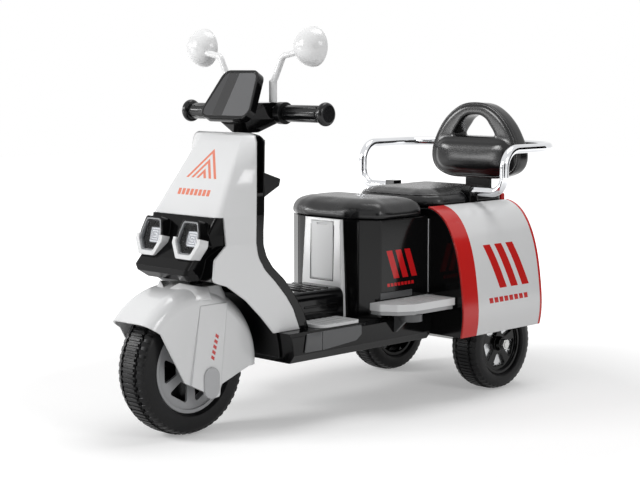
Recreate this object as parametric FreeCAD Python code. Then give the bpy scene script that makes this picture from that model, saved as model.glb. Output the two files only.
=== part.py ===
import FreeCAD, Part
import math
import os

# Child's electric ride-on scooter with a pillion seat: one steered front wheel, two rear wheels.
# Millimetres. +X is forward, +Y the rider's left, +Z up. Lengthways places are measured from the
# front axle, and the finished pieces are shifted so that the origin is on the ground at mid-length.

V = FreeCAD.Vector

# Fits and common walls
RUNNING_GAP = 0.05
COVER_GAP = 0.3
SIDE_PLAY = 0.5
WALL = 3.0
CUT_OVERRUN = 20.0
CLOSE_ENOUGH = 0.001

# Tyres and wheels
WHEELBASE = 666.0
FRONT_TYRE_RADIUS = 116.0
FRONT_TYRE_WIDTH = 70.0
FRONT_RIM_RADIUS = 77.0
REAR_TYRE_RADIUS = 88.0
REAR_TYRE_WIDTH = 62.0
REAR_RIM_RADIUS = 58.0
REAR_WHEEL_TUCK = 62.0
TYRE_SECTION_SHARES = ((0.80, 0.0), (0.97, 0.10), (1.0, 0.38), (0.93, 0.74), (0.64, 1.0))
TYRE_ROUNDING_SHARE = 0.1
TREAD_GROOVE_WIDTH = 3.5
TREAD_GROOVE_DEPTH = 4.0
TREAD_GROOVE_SHARE = 0.46
HUB_RIM_WALL = 6.0
HUB_FACE_SETBACK = 11.0
HUB_FACE_WALL = 5.0
HUB_BOSS_RADIUS = 14.0
FRONT_WINDOW_COUNT = 6
FRONT_WINDOW_IN_RADIUS = 30.0
FRONT_WINDOW_OUT_RADIUS = 61.0
REAR_WINDOW_COUNT = 5
REAR_WINDOW_IN_RADIUS = 21.0
REAR_WINDOW_OUT_RADIUS = 48.0
WINDOW_IN_SHARE = 0.52
WINDOW_OUT_SHARE = 0.70
WINDOW_ROUNDING = 4.0
BRAKE_DISC_RADIUS = 49.0
BRAKE_DISC_THICKNESS = 3.0
BRAKE_HOLE_COUNT = 14
BRAKE_HOLE_RADIUS = 2.4
BRAKE_HOLE_CIRCLE = 41.0

# Axles
FRONT_AXLE_RADIUS = 5.0
REAR_AXLE_RADIUS = 6.0
NUT_ACROSS_SHARE = 1.7
NUT_THICKNESS = 6.0
AXLE_END = 1.5

# Steering fork
STEER_RAKE_DEG = 25.0
STEER_FOOT_X = 86.0
FORK_TYRE_GAP = 3.5
FORK_LEG_THICKNESS = 5.0
FORK_LEG_WIDTH = 24.0
FORK_BOSS_RADIUS = 13.0
FORK_CROWN_GAP = 7.0
FORK_CROWN_THICKNESS = 8.0
STEM_RADIUS = 10.0
STEM_TOP_Z = 522.0

# Steering bushes in the leg shield
BUSH_RADIUS = 15.0
BUSH_LENGTH = 14.0
BUSH_LOW_Z = 322.0
BUSH_HIGH_Z = 482.0
HEAD_TUBE_WALL = 4.0

# Front mudguard
MUDGUARD_RADIUS = 138.0
MUDGUARD_HALF = 55.0
MUDGUARD_SHOULDER = 26.0
MUDGUARD_SHIFT = 6.0
MUDGUARD_TIP_X = 98.0
MUDGUARD_TIP_Z = 192.0
MUDGUARD_FOOT_Z = 66.0
MUDGUARD_SKIRT_SHARES = ((0.90, 0.95), (0.40, 0.26), (-0.08, 0.07), (-0.17, 0.0), (-0.31, 0.01),
                         (-0.43, 0.16), (-1.06, 0.34))
MUDGUARD_TIP_RISE_SHARE = 0.69
NECK_TOP_Z = 254.0
NECK_X = -31.0
NECK_FOOT_Z = 216.0
NECK_TOP_HALF = 46.0
NECK_TOP_LENGTH = 58.0
NECK_FOOT_HALF = 52.0
NECK_FOOT_LENGTH = 88.0
NECK_ROUNDING = 22.0
RIB_TOP_Z = 224.0
RIB_TOP_LENGTH = 60.0
RIB_TOP_PROUD = 0.8
RIB_FOOT_LENGTH = 66.0
RIB_FOOT_PROUD = 6.0
RIB_FOOT_X = 1.0
CAP_X = -14.0
CAP_WIDTH = 33.0
CAP_TOP_Z = 119.0
CAP_PROUD = 1.5
CAP_DEPTH = 4.0

# Leg shield, white front moulding
SHIELD_FOOT_Z = 161.0
SHIELD_TOP_Z = 507.0
SHIELD_LAMP_Z = 371.0
SHIELD_CHEEK_Z = 325.0
SHIELD_FACE_X = -8.0
SHIELD_RAKE_DEG = 33.0
SHIELD_TOP_HALF = 54.0
SHIELD_FACE_HALF = 85.0
SHIELD_REAR_HALF = 92.0
SHIELD_REAR_TOP_HALF = 82.0
SHIELD_REACH = 191.0
SHIELD_EDGE_ROUNDING = 14.0
SHIELD_TOP_EDGE = 14.0
SHIELD_TOP_SHARES = ((0.0, 1.0, 0.5), (0.3, 0.3, 0.15), (1.0, 0.0, 0.0))
SHIELD_WAIST = 88.0
SHIELD_TOP_DEPTH = 4.9
SHIELD_REAR_SHARES = ((0.01, 0.607), (0.0, 0.474), (0.04, 0.405), (0.19, 0.336), (0.42, 0.272),
                      (0.66, 0.195), (0.83, 0.125), (0.985, 0.016))
SHIELD_ARCH_SHARES = ((-0.927, 0.016), (-0.72, 0.104), (-0.47, 0.197), (-0.166, 0.277),
                      (0.062, 0.306), (0.036, 0.41), (-0.152, 0.474))
SHIELD_SWEEP_ROUNDING = 45.0
SHIELD_ARCH_ROUNDING = 60.0
SHIELD_CORNER_ROUNDING = 8.0

# Leg shield, black inner moulding with the steering column cover
INNER_REAR_SHARES = ((1.194, 0.03), (1.08, 0.10), (0.875, 0.19), (0.64, 0.275), (0.37, 0.345),
                     (0.235, 0.40), (0.165, 0.46), (0.165, 0.53), (0.184, 0.61))
INNER_TOP_DEPTH = 23.0
INNER_TOP_DROP = 5.0
INNER_SWEEP_ROUNDING = 30.0
COLUMN_TOP_X = -178.0
COLUMN_FOOT_X = -145.0
COLUMN_FOOT_Z = 300.0
COLUMN_TOP_Z = 492.0
COLUMN_TOP_HALF = 27.0
COLUMN_FOOT_HALF = 40.0
LINER_GAP = 12.0
LINER_END_DEG = 178.0
LINER_START_DEG = 128.0
LINER_WEB_DEG = 165.0
LINER_WEB_SPACING = 60.0

# Headlight housing and lamps
HOUSING_REAR_X = -21.0
HOUSING_CHIN_Z = 267.0
HOUSING_NOSE_X = 45.0
HOUSING_BROW_HALF = 84.0
HOUSING_LEVEL_SHARES = ((1.0, 0.0, 1.0, 1.0), (0.72, 0.26, 0.88, 1.03), (0.56, 0.46, 0.82, 1.03),
                        (0.34, 0.76, 0.80, 0.86), (0.20, 1.0, 0.81, 0.79), (0.11, 0.98, 0.76, 0.76),
                        (0.0, 0.70, 0.64, 0.74))
HOUSING_ROUNDING = 6.0
LAMP_X = 24.0
LAMP_HALF_SPAN = 48.0
LAMP_Z = 338.0
LAMP_PITCH_DEG = 14.0
LAMP_HALF_WIDTH = 27.0
LAMP_HALF_HEIGHT = 28.0
LAMP_OUTLINE_SHARES = ((0.66, 1.0), (0.92, 0.25), (1.0, -0.28), (0.55, -1.0))
LAMP_ROUNDING = 6.0
LAMP_DEPTH = 26.0
LAMP_BEZEL_WALL = 2.6
TRIM_PROUD = 3.0
TRIM_WIDTH = 8.0
TRIM_LENGTH = 16.0
TRIM_GAP = 6.0
LENS_SETBACK = 5.0
LENS_THICKNESS = 2.0
REFLECTOR_WALL = 2.0
PROJECTOR_HALF = 13.0
PROJECTOR_LENGTH = 14.0

# Bag hook on the steering column cover
HOOK_TOP_Z = 439.0
HOOK_FOOT_Z = 389.0
HOOK_REACH = 58.0
HOOK_HALF = 9.0
HOOK_SHARES = ((0.0, 0.0), (1.0, 0.36), (0.98, 0.6), (0.35, 1.0), (0.0, 1.0))
HOOK_ROUNDING = 6.0

# Handlebar
BAR_X = -173.0
BAR_Z = 539.0
BAR_RADIUS = 9.0
GRIP_END = 178.0
GRIP_START = 76.0
GRIP_RADIUS = 13.0
GRIP_KNOB_RADIUS = 20.0
GRIP_KNOB_LENGTH = 14.0
COLLAR_RADIUS = 19.0
COVER_HALF = 62.0
COVER_TOP_Z = 557.0
COVER_REAR_X = -197.0
COVER_FOOT_Z = 505.0
COVER_WAIST_Z = 529.0
COVER_FOOT_HALF = 20.0
COVER_FOOT_LENGTH = 34.0
COVER_WAIST_SHARE = 0.55
COVER_ROUNDING = 8.0
VISOR_FOOT_X = -95.0
VISOR_FOOT_Z = 531.0
VISOR_RAKE_DEG = 30.7
VISOR_HEIGHT = 94.0
VISOR_FOOT_HALF = 66.0
VISOR_TOP_HALF = 44.0
VISOR_THICKNESS = 14.0
VISOR_ROUNDING = 19.0
DASH_BORDER = 5.0
DASH_THICKNESS = 3.0
BUTTON_RADIUS = 7.0
BUTTON_LENGTH = 10.0
BUTTON_PROUD = 4.0
BUTTON_Y = 32.0
BUTTON_TRAVEL = 2.0

# Mirrors
MIRROR_STEM_X = -163.0
MIRROR_STEM_Y = 55.0
MIRROR_STEM_RADIUS = 7.0
MIRROR_STEM_TOP_Z = 596.0
MIRROR_PEG_RADIUS = 4.0
MIRROR_PEG_LENGTH = 9.0
MIRROR_ARM_RADIUS = 5.5
MIRROR_X = -178.0
MIRROR_Y = 137.0
MIRROR_Z = 651.0
MIRROR_RADIUS = 34.0
MIRROR_DEPTH = 33.0
MIRROR_RIM = 3.0
MIRROR_GLASS_THICKNESS = 2.0
MIRROR_ELBOW_Y = 80.0
MIRROR_ELBOW_Z = 636.0

# Chassis, floor and pedal
CHASSIS_FOOT_Z = 113.0
FLOOR_Z = 166.0
FLOOR_LEDGE = 9.0
FLOOR_FRONT_X = -118.0
FLOOR_EDGE_SHARES = ((0.90, 0.0), (1.0, 0.28), (1.0, 0.88), (0.97, 1.0))
ARCH_RADIUS = 154.0
TRAY_TUCK = 59.0
TRAY_TOP_Z = 150.0
CARRIER_THICKNESS = 8.0
CARRIER_RADIUS = 18.0
CARRIER_LENGTH = 70.0
MAT_THICKNESS = 6.0
MAT_FRONT_SETBACK = 3.0
MAT_REAR_SETBACK = 33.0
MAT_EDGE = 3.0
MAT_ROUNDING = 22.0
MAT_RIB_COUNT = 6
MAT_RIB_WIDTH = 4.0
MAT_RIB_HEIGHT = 1.2
SILL_THICKNESS = 3.0
SILL_SHARES = ((0.0, 1.0), (0.0, 0.12), (0.86, 0.3), (1.0, 0.55), (1.0, 1.0))
SILL_FOOT_Z = 126.0
SILL_TOP_Z = 163.0
TUNNEL_WIDTH_SHARE = 0.48
TUNNEL_TOP_Z = 221.0
TUNNEL_FRONT_SETBACK = 7.0
TUNNEL_ROUNDING = 16.0
PEDAL_EDGE = 29.0
PEDAL_WIDTH_SHARE = 0.317
PEDAL_HINGE_SETBACK = 20.0
PEDAL_LENGTH_SHARE = 0.795
PEDAL_THICKNESS = 6.0
PEDAL_RISE_DEG = 16.0
PEDAL_BARREL_RADIUS = 5.0
PEDAL_PIN_RADIUS = 3.0
PEDAL_EAR_THICKNESS = 5.0
PEDAL_EAR_HEIGHT = 17.0
PEDAL_CLEARANCE = 2.0

# Seat box with its front panel, hatch and battery
BOX_FRONT_SHARE = 0.518
BOX_BODY_GAP = 1.0
BOX_HALF = 112.0
BOX_TOP_Z = 343.0
BOX_CORNER_SHARES = ((0.0, 0.42), (0.05, 0.70), (0.18, 1.0))
BOX_ROUNDING = 7.0
PANEL_TOP_HALF = 46.0
PANEL_FOOT_HALF = 54.0
PANEL_THICKNESS = 6.0
PANEL_FOOT_LEAN = 5.0
HATCH_HALF = 28.0
HATCH_FOOT_Z = 231.0
HATCH_TOP_Z = 338.0
HATCH_RECESS = 1.5
HATCH_HINGE_RADIUS = 2.0
HATCH_SLOT_HALF = 13.0
HATCH_SLOT_HEIGHT = 3.0
HATCH_SLOT_DEPTH = 2.0
BATTERY_LENGTH = 70.0
BATTERY_WIDTH = 47.0
BATTERY_HEIGHT = 94.0
BATTERY_TERMINAL_RADIUS = 3.0
BATTERY_TERMINAL_HEIGHT = 4.0
POCKET_WALL = 2.5
CONTROLLER_LENGTH = 28.0
CONTROLLER_WIDTH = 44.0
CONTROLLER_HEIGHT = 24.0
CONTROLLER_SETBACK = 18.0
SOCKET_RADIUS = 9.0
SOCKET_BORE = 2.75
SOCKET_LENGTH = 16.0
SOCKET_FLANGE_RADIUS = 13.0
SOCKET_FLANGE_THICKNESS = 2.5
SOCKET_PIN_DEPTH = 12.0
SOCKET_SETBACK = 56.0
SOCKET_Z = 300.0

# Seats and backrest
SEAT_OVERHANG = 4.0
SEAT_HEIGHT = 35.0
SEAT_LEVEL_SHARES = ((0.0, 0.10), (0.2, 0.0), (0.55, 0.10), (0.85, 0.42), (1.0, 1.0))
SEAT_CROWN_INSET = 26.0
SEAT_REAR_SETBACK = 16.0
REAR_SEAT_FRONT_SETBACK = 6.0
REAR_SEAT_REAR_SETBACK = 3.0
REAR_SEAT_WIDTH_SHARE = 0.538
REAR_SEAT_HEIGHT = 30.0
PAD_RISE_SHARE = 0.7
HOLE_TOP_SHARE = 0.42
POST_INSERT = 24.0
REAR_SEAT_CORNER_SHARES = ((0.0, 0.55), (0.05, 0.78), (0.16, 1.0))
REAR_SEAT_ROUNDING = 10.0
BACKREST_SETBACK = 27.0
BACKREST_THICKNESS = 46.0
BACKREST_HALF = 112.0
BACKREST_FOOT_Z = 396.0
BACKREST_TOP_Z = 546.0
BACKREST_SHARES = ((0.62, 0.0), (1.0, 0.12), (1.0, 0.40), (0.71, 0.80), (0.27, 1.0))
BACKREST_ROUNDING_SHARES = (0.84, 0.32, 0.56, 1.10, 0.66)
BACKREST_EDGE = 10.0
BACKREST_HOLE_HALF = 56.0
BACKREST_HOLE_FOOT_Z = 479.0
BACKREST_HOLE_TOP_Z = 522.0
BACKREST_HOLE_ROUNDING = 38.0
BACKREST_PAD_CROWN = 12.0
BACKREST_PAD_INSET = 14.0
BACKREST_PAD_ROUNDING = 27.0
POST_HALF = 30.0
POST_THICKNESS = 9.0
POST_SETBACK = 14.0

# Rear body, side panels and steps
BODY_AHEAD = 159.0
BODY_BEHIND = 79.0
PANEL_HALF = 197.0
PANEL_FOOT_Z = 122.0
PANEL_CREST_Z = 360.0
PANEL_PROFILE_SHARES = ((0.56, 1.0), (0.746, 0.92), (0.853, 0.79), (0.929, 0.613), (0.985, 0.345),
                        (1.0, 0.2), (0.975, 0.0))
BODY_CORE_TUCK = 37.0
BODY_DECK_Z = 356.0
BODY_REAR_FOOT_Z = 200.0
STEP_DEPTH = 68.0
STEP_TOP_Z = 197.0
STEP_UPPER = 13.0
STEP_LOWER = 7.0
STEP_LOWER_INSET = 3.0
STEP_SETBACK = 1.0
STEP_NOSE_SHARES = ((0.0, 0.0), (0.0, 0.35), (0.11, 0.75), (0.29, 1.0), (1.0, 1.0), (1.0, 0.0))
STEP_ROUNDING = 10.0
STEP_RIB_COUNT = 5
STEP_RIB_DEPTH = 1.2
STEP_RIB_WIDTH = 4.0
KNOB_RADIUS = 21.0
KNOB_HEIGHT = 13.0
KNOB_SHARE = 0.36
BRACKET_THICKNESS = 5.0
TAIL_LIGHT_HALF = 94.0
TAIL_LIGHT_HEIGHT = 26.0
TAIL_LIGHT_DEPTH = 10.0
TAIL_LIGHT_DROP = 6.0
TAIL_LIGHT_RISE = 14.0

# Chrome grab rail
RAIL_RADIUS = 8.5
RAIL_AHEAD = 25.0
RAIL_TUCK = 15.0
RAIL_FOOT_Z = 381.0
RAIL_TOP_Z = 463.0
RAIL_BEHIND = 165.0
RAIL_POST_HALF = 11.0
RAIL_POST_PROUD = 3.0
RAIL_FOOT_BEND = 30.0
RAIL_TOP_BEND = 36.0
RAIL_REAR_BEND_SHARE = 0.44

# Drive: motor, reduction gear and the gear on the right hub
DRIVE_MODULE = 1.25
DRIVE_TEETH = 40
SMALL_TEETH = 12
BIG_MODULE = 1.0
BIG_TEETH = 36
PINION_TEETH = 10
MESH_PLAY = 0.35
GEAR_BACKLASH = 0.25
DRIVE_GEAR_WIDTH = 9.0
BIG_GEAR_WIDTH = 5.0
GEAR_GAP = 1.5
GEAR_SIDE_GAP = 9.0
GEAR_TILT_DEG = 31.0
PRESSURE_DEG = 20.0
DEDENDUM_SHARE = 1.25
FLANK_STEPS = 3
GEARBOX_WALL = 3.0
GEARBOX_MARGIN = 4.0
REDUCTION_SHAFT_RADIUS = 3.0
MOTOR_RADIUS = 18.0
MOTOR_LENGTH = 48.0
MOTOR_BOSS_RADIUS = 7.0
MOTOR_SHAFT_RADIUS = 1.6

ROUND_DEG = 360.0
UP = V(0, 0, 1)
LEFT = V(0, 1, 0)
AHEAD = V(1, 0, 0)


def outline(points, radii=0.0):
    """Closed wire through the points, its corners rounded by one radius or by one each."""
    count = len(points)
    if not isinstance(radii, (list, tuple)):
        radii = [radii] * count
    corners = []
    for index, corner in enumerate(points):
        if radii[index] <= 0:
            corners.append((corner, None, corner))
            continue
        back = (points[index - 1] - corner).normalize()
        onward = (points[(index + 1) % count] - corner).normalize()
        half_angle = back.getAngle(onward) / 2
        reach = radii[index] / math.tan(half_angle)
        inward = (back + onward).normalize()
        middle = corner + inward * (radii[index] / math.sin(half_angle) - radii[index])
        corners.append((corner + back * reach, middle, corner + onward * reach))
    edges = []
    for index, (start, middle, end) in enumerate(corners):
        if middle is not None:
            edges.append(Part.Arc(start, middle, end).toShape())
        following = corners[(index + 1) % count][0]
        if end.distanceToPoint(following) > CLOSE_ENOUGH:
            edges.append(Part.makeLine(end, following))
    return Part.Wire(edges)


def side_prism(points, y_from, y_to, radii=0.0):
    """Side-view outline of (x, z) points, as thick as from y_from to y_to."""
    wire = outline([V(x, y_from, z) for x, z in points], radii)
    return Part.Face(wire).extrude(V(0, y_to - y_from, 0))


def front_prism(points, x_from, x_to, radii=0.0):
    """Front-view outline of (y, z) points, as long as from x_from to x_to."""
    wire = outline([V(x_from, y, z) for y, z in points], radii)
    return Part.Face(wire).extrude(V(x_to - x_from, 0, 0))


def plan_wire(points, z, radii=0.0):
    return outline([V(x, y, z) for x, y in points], radii)


def plan_prism(points, z_from, z_to, radii=0.0):
    """Plan outline of (x, y) points, as high as from z_from to z_to."""
    return Part.Face(plan_wire(points, z_from, radii)).extrude(V(0, 0, z_to - z_from))


def block(x_from, x_to, y_from, y_to, z_from, z_to):
    """Box between two corners, given in rising order."""
    return Part.makeBox(x_to - x_from, y_to - y_from, z_to - z_from, V(x_from, y_from, z_from))


def loft(wires):
    return Part.makeLoft(wires, True, True)


def rod(radius, start, end):
    along = end - start
    return Part.makeCylinder(radius, along.Length, start, along)


def disc(radius, y_from, y_to, x=0.0, z=0.0):
    """Round plate or shaft across the scooter."""
    return Part.makeCylinder(radius, y_to - y_from, V(x, y_from, z), LEFT)


def ring(outer, inner, y_from, y_to, x=0.0, z=0.0):
    return disc(outer, y_from, y_to, x, z).cut(disc(inner, y_from, y_to, x, z))


def joined(first, *others):
    return first.fuse(list(others)).removeSplitter()


def mirrored(shape):
    """The same piece on the other side of the scooter."""
    return shape.mirror(V(), LEFT)


def both_ways(half):
    """Closed outline from the points of its left half, front to back."""
    return list(half) + [(a, -b) for a, b in reversed(half)]


def both_sides(half):
    """Closed front-view outline from the (y, z) points of its left half."""
    return list(half) + [(-a, b) for a, b in reversed(half)]


def bent_tube(points, bends, radius):
    """Tube along straight runs whose corners are bent by the given radii."""
    edges = []
    start = points[0]
    for index, bend in enumerate(bends, 1):
        corner = points[index]
        back = (points[index - 1] - corner).normalize()
        onward = (points[index + 1] - corner).normalize()
        half_angle = back.getAngle(onward) / 2
        reach = bend / math.tan(half_angle)
        middle = corner + (back + onward).normalize() * (bend / math.sin(half_angle) - bend)
        edges.append(Part.makeLine(start, corner + back * reach))
        edges.append(Part.Arc(corner + back * reach, middle, corner + onward * reach).toShape())
        start = corner + onward * reach
    edges.append(Part.makeLine(start, points[-1]))
    section = Part.Wire(Part.makeCircle(radius, points[0], points[1] - points[0]))
    return Part.Wire(edges).makePipeShell([section], True, True)


def gear(teeth, module, y_from, y_to, x, z, tooth_deg):
    """Straight involute gear across the scooter, with one tooth centred at tooth_deg."""
    pressure = math.radians(PRESSURE_DEG)
    pitch_radius = module * teeth / 2
    base_radius = pitch_radius * math.cos(pressure)
    tip_radius = pitch_radius + module
    root_radius = pitch_radius - module * DEDENDUM_SHARE
    involute = math.tan(pressure) - pressure
    half_tooth = (math.pi * module / 2 - GEAR_BACKLASH) / 2 / pitch_radius
    flank = []
    for step in range(FLANK_STEPS + 1):
        radius = max(base_radius, root_radius)
        radius += (tip_radius - radius) * step / FLANK_STEPS
        slope = math.acos(base_radius / radius)
        flank.append((radius, half_tooth + involute - math.tan(slope) + slope))
    flank.insert(0, (root_radius, flank[0][1]))
    points = []
    for tooth in range(teeth):
        centre = math.radians(tooth_deg) + tooth * 2 * math.pi / teeth
        tooth_side = [(radius, centre - spread) for radius, spread in flank]
        tooth_side += [(radius, centre + spread) for radius, spread in reversed(flank)]
        points += [(x + r * math.cos(a), z + r * math.sin(a)) for r, a in tooth_side]
    return side_prism(points, y_from, y_to)


rake = math.radians(STEER_RAKE_DEG)
steer_up = V(-math.sin(rake), 0, math.cos(rake))


def steer_x(z):
    """Place of the steering axis at a height."""
    return STEER_FOOT_X - z * math.tan(rake)


def steer_point(z):
    return V(steer_x(z), 0, z)


front_axle_z = FRONT_TYRE_RADIUS
rear_axle_x = -WHEELBASE
rear_axle_z = REAR_TYRE_RADIUS
rear_wheel_y = PANEL_HALF - REAR_WHEEL_TUCK
rear_track = 2 * rear_wheel_y
tray_half = rear_wheel_y - TRAY_TUCK
body_front_x = rear_axle_x + BODY_AHEAD
body_rear_x = rear_axle_x - BODY_BEHIND
body_core_half = rear_wheel_y - BODY_CORE_TUCK
box_front_x = -WHEELBASE * BOX_FRONT_SHARE
box_rear_x = body_front_x + BOX_BODY_GAP
floor_half = BOX_HALF + FLOOR_LEDGE
shield_foot_x = -SHIELD_WAIST - (SHIELD_REACH - SHIELD_WAIST) * INNER_REAR_SHARES[0][0]
mat_front_x = shield_foot_x - MAT_FRONT_SETBACK
mat_rear_x = box_front_x + MAT_REAR_SETBACK
tunnel_front_x = shield_foot_x - TUNNEL_FRONT_SETBACK
tunnel_half = floor_half * TUNNEL_WIDTH_SHARE
pedal_y = PEDAL_EDGE - floor_half
pedal_half = (floor_half - tunnel_half) * PEDAL_WIDTH_SHARE
pedal_hinge_x = mat_rear_x + PEDAL_HINGE_SETBACK
pedal_length = (mat_front_x - pedal_hinge_x) * PEDAL_LENGTH_SHARE
step_front_x = box_front_x - STEP_SETBACK
step_outer = BOX_HALF + STEP_DEPTH
seat_rear_x = box_rear_x + SEAT_REAR_SETBACK
rear_seat_front_x = body_front_x - REAR_SEAT_FRONT_SETBACK
rear_seat_rear_x = body_rear_x + REAR_SEAT_REAR_SETBACK
rear_seat_half = PANEL_HALF * REAR_SEAT_WIDTH_SHARE
backrest_front_x = body_rear_x - BACKREST_SETBACK
rail_x = rear_axle_x + RAIL_AHEAD
rail_rear_x = rear_axle_x - RAIL_BEHIND
rail_half = PANEL_HALF - RAIL_TUCK
length_middle = (FRONT_TYRE_RADIUS + rail_rear_x - RAIL_RADIUS) / 2
os.makedirs("parts", exist_ok=True)
node_names = []


def save(name, *shapes):
    """Write one node, shifted so that the origin is under the middle of the scooter."""
    solids = [solid for shape in shapes for solid in shape.Solids]
    body = solids[0] if len(solids) == 1 else Part.makeCompound(solids)
    body = body.translated(V(-length_middle, 0, 0))
    body.exportStep(f"parts/{name}.step")
    node_names.append(name)
    print(name, len(solids), body.isValid(), round(body.Volume / 1000, 1))


def place(shape, x, y, z):
    return shape.translated(V(x, y, z))


# Tyres: a rounded carcass with two grooves beside the middle tread band.
def tyre(radius, width, rim_radius):
    depth = radius - rim_radius
    half = [(width / 2 * across, rim_radius + depth * out) for across, out in TYRE_SECTION_SHARES]
    section = [V(0, y, r) for y, r in half] + [V(0, -y, r) for y, r in reversed(half)]
    rounding = [0.0] + [depth * TYRE_ROUNDING_SHARE] * (2 * len(half) - 2) + [0.0]
    carcass = Part.Face(outline(section, rounding)).revolve(V(), LEFT, ROUND_DEG)
    for side in (-1, 1):
        middle = side * width / 2 * TREAD_GROOVE_SHARE
        start = middle - TREAD_GROOVE_WIDTH / 2
        groove = ring(radius + CUT_OVERRUN, radius - TREAD_GROOVE_DEPTH, start, start + TREAD_GROOVE_WIDTH)
        carcass = carcass.cut(groove)
    return carcass


def bead_half(width):
    return width / 2 * TYRE_SECTION_SHARES[0][0]


def windows(count, in_radius, out_radius, y_from, y_to):
    """Openings between the spokes of a wheel face."""
    cuts = []
    for index in range(count):
        centre = math.pi / 2 + 2 * math.pi * (index + 0.5) / count
        spread_in = math.pi / count * WINDOW_IN_SHARE
        spread_out = math.pi / count * WINDOW_OUT_SHARE
        corners = [(in_radius, centre - spread_in), (out_radius, centre - spread_out),
                   (out_radius, centre + spread_out), (in_radius, centre + spread_in)]
        points = [(r * math.cos(a), r * math.sin(a)) for r, a in corners]
        cuts.append(side_prism(points, y_from, y_to, WINDOW_ROUNDING))
    return cuts


fork_in = FRONT_TYRE_WIDTH / 2 + FORK_TYRE_GAP
fork_out = fork_in + FORK_LEG_THICKNESS


def front_hub():
    rim_half = bead_half(FRONT_TYRE_WIDTH)
    face = FRONT_TYRE_WIDTH / 2 - HUB_FACE_SETBACK
    boss_half = fork_in - SIDE_PLAY
    body = ring(FRONT_RIM_RADIUS, FRONT_RIM_RADIUS - HUB_RIM_WALL, -rim_half, rim_half)
    spokes = disc(FRONT_RIM_RADIUS - HUB_RIM_WALL, -face, face)
    hollow = ring(FRONT_RIM_RADIUS - HUB_RIM_WALL, HUB_BOSS_RADIUS, HUB_FACE_WALL - face,
                  face - HUB_FACE_WALL)
    spokes = spokes.cut(hollow)
    cuts = windows(FRONT_WINDOW_COUNT, FRONT_WINDOW_IN_RADIUS, FRONT_WINDOW_OUT_RADIUS,
                   -face - CUT_OVERRUN, face + CUT_OVERRUN)
    spokes = spokes.cut(Part.makeCompound(cuts))
    boss = disc(HUB_BOSS_RADIUS, -boss_half, boss_half)
    bore = disc(FRONT_AXLE_RADIUS + RUNNING_GAP, -boss_half - CUT_OVERRUN, boss_half + CUT_OVERRUN)
    return joined(body, spokes, boss).cut(bore)


def nut(axle_radius, y_from, y_to, x, z):
    """Hexagon nut screwed on an axle end."""
    reach = axle_radius * NUT_ACROSS_SHARE
    angles = [math.pi / 3 * k for k in range(6)]
    corners = [(x + reach * math.cos(angle), z + reach * math.sin(angle)) for angle in angles]
    return side_prism(corners, y_from, y_to).cut(disc(axle_radius, y_from, y_to, x, z))


def front_axle():
    reach = fork_out + NUT_THICKNESS + AXLE_END
    nuts = [nut(FRONT_AXLE_RADIUS, fork_out, fork_out + NUT_THICKNESS, 0, front_axle_z)]
    nuts.append(mirrored(nuts[0]))
    return [disc(FRONT_AXLE_RADIUS, -reach, reach, 0, front_axle_z)] + nuts


save("front_tyre", place(tyre(FRONT_TYRE_RADIUS, FRONT_TYRE_WIDTH, FRONT_RIM_RADIUS), 0, 0, front_axle_z))
save("front_hub", place(front_hub(), 0, 0, front_axle_z))
save("front_axle", *front_axle())

# Steering fork: two flat legs, a crown over the tyre and the stem that turns in the bushes.
crown_z = 2 * FRONT_TYRE_RADIUS + FORK_CROWN_GAP
crown_top_z = crown_z + FORK_CROWN_THICKNESS
crown_x = steer_x(crown_z)


def fork():
    half = FORK_LEG_WIDTH / 2
    crown = block(crown_x - half, crown_x + half, -fork_out, fork_out, crown_z, crown_top_z)
    leg_points = [(crown_x - half, crown_top_z), (crown_x + half, crown_top_z),
                  (half, front_axle_z), (-half, front_axle_z)]
    leg = side_prism(leg_points, fork_in, fork_out)
    leg = joined(leg, disc(FORK_BOSS_RADIUS, fork_in, fork_out, 0, front_axle_z))
    leg = leg.cut(disc(FRONT_AXLE_RADIUS, fork_in - CUT_OVERRUN, fork_out + CUT_OVERRUN, 0, front_axle_z))
    stem = rod(STEM_RADIUS, steer_point(crown_z + FORK_CROWN_THICKNESS / 2), steer_point(STEM_TOP_Z))
    return joined(crown, leg, mirrored(leg), stem)


save("steering_fork", fork())


# Front mudguard: an arched shell with a neck over the fork crown and raised covers over the fork legs.
def drum(radius, half, shoulder):
    body = disc(radius, -half, half, MUDGUARD_SHIFT, front_axle_z)
    rims = [edge for edge in body.Edges if isinstance(edge.Curve, Part.Circle)]
    return body.makeFillet(shoulder, rims)


def plan_box(middle, length, half):
    return [(middle - length / 2, -half), (middle + length / 2, -half),
            (middle + length / 2, half), (middle - length / 2, half)]


def fork_cover():
    """Raised cover over the left fork leg, wider at the top and prouder at the foot."""
    root = MUDGUARD_HALF - WALL
    sections = []
    for middle, length, proud, z in ((crown_x, RIB_TOP_LENGTH, RIB_TOP_PROUD, RIB_TOP_Z),
                                     (RIB_FOOT_X, RIB_FOOT_LENGTH, RIB_FOOT_PROUD, MUDGUARD_FOOT_Z)):
        edge = MUDGUARD_HALF + proud
        sections.append(plan_wire([(middle - length / 2, root), (middle + length / 2, root),
                                   (middle + length / 2, edge), (middle - length / 2, edge)], z))
    return loft(sections)


def fork_cap():
    """Rounded plug let into the foot of the left fork cover."""
    inner = MUDGUARD_HALF + RIB_FOOT_PROUD - CAP_DEPTH
    outer = MUDGUARD_HALF + RIB_FOOT_PROUD + CAP_PROUD
    half = CAP_WIDTH / 2
    foot = MUDGUARD_FOOT_Z + half + COVER_GAP
    plug = block(CAP_X - half, CAP_X + half, inner, outer, foot, CAP_TOP_Z - half)
    ends = [disc(half, inner, outer, CAP_X, z) for z in (foot, CAP_TOP_Z - half)]
    return joined(plug, *ends)


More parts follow.
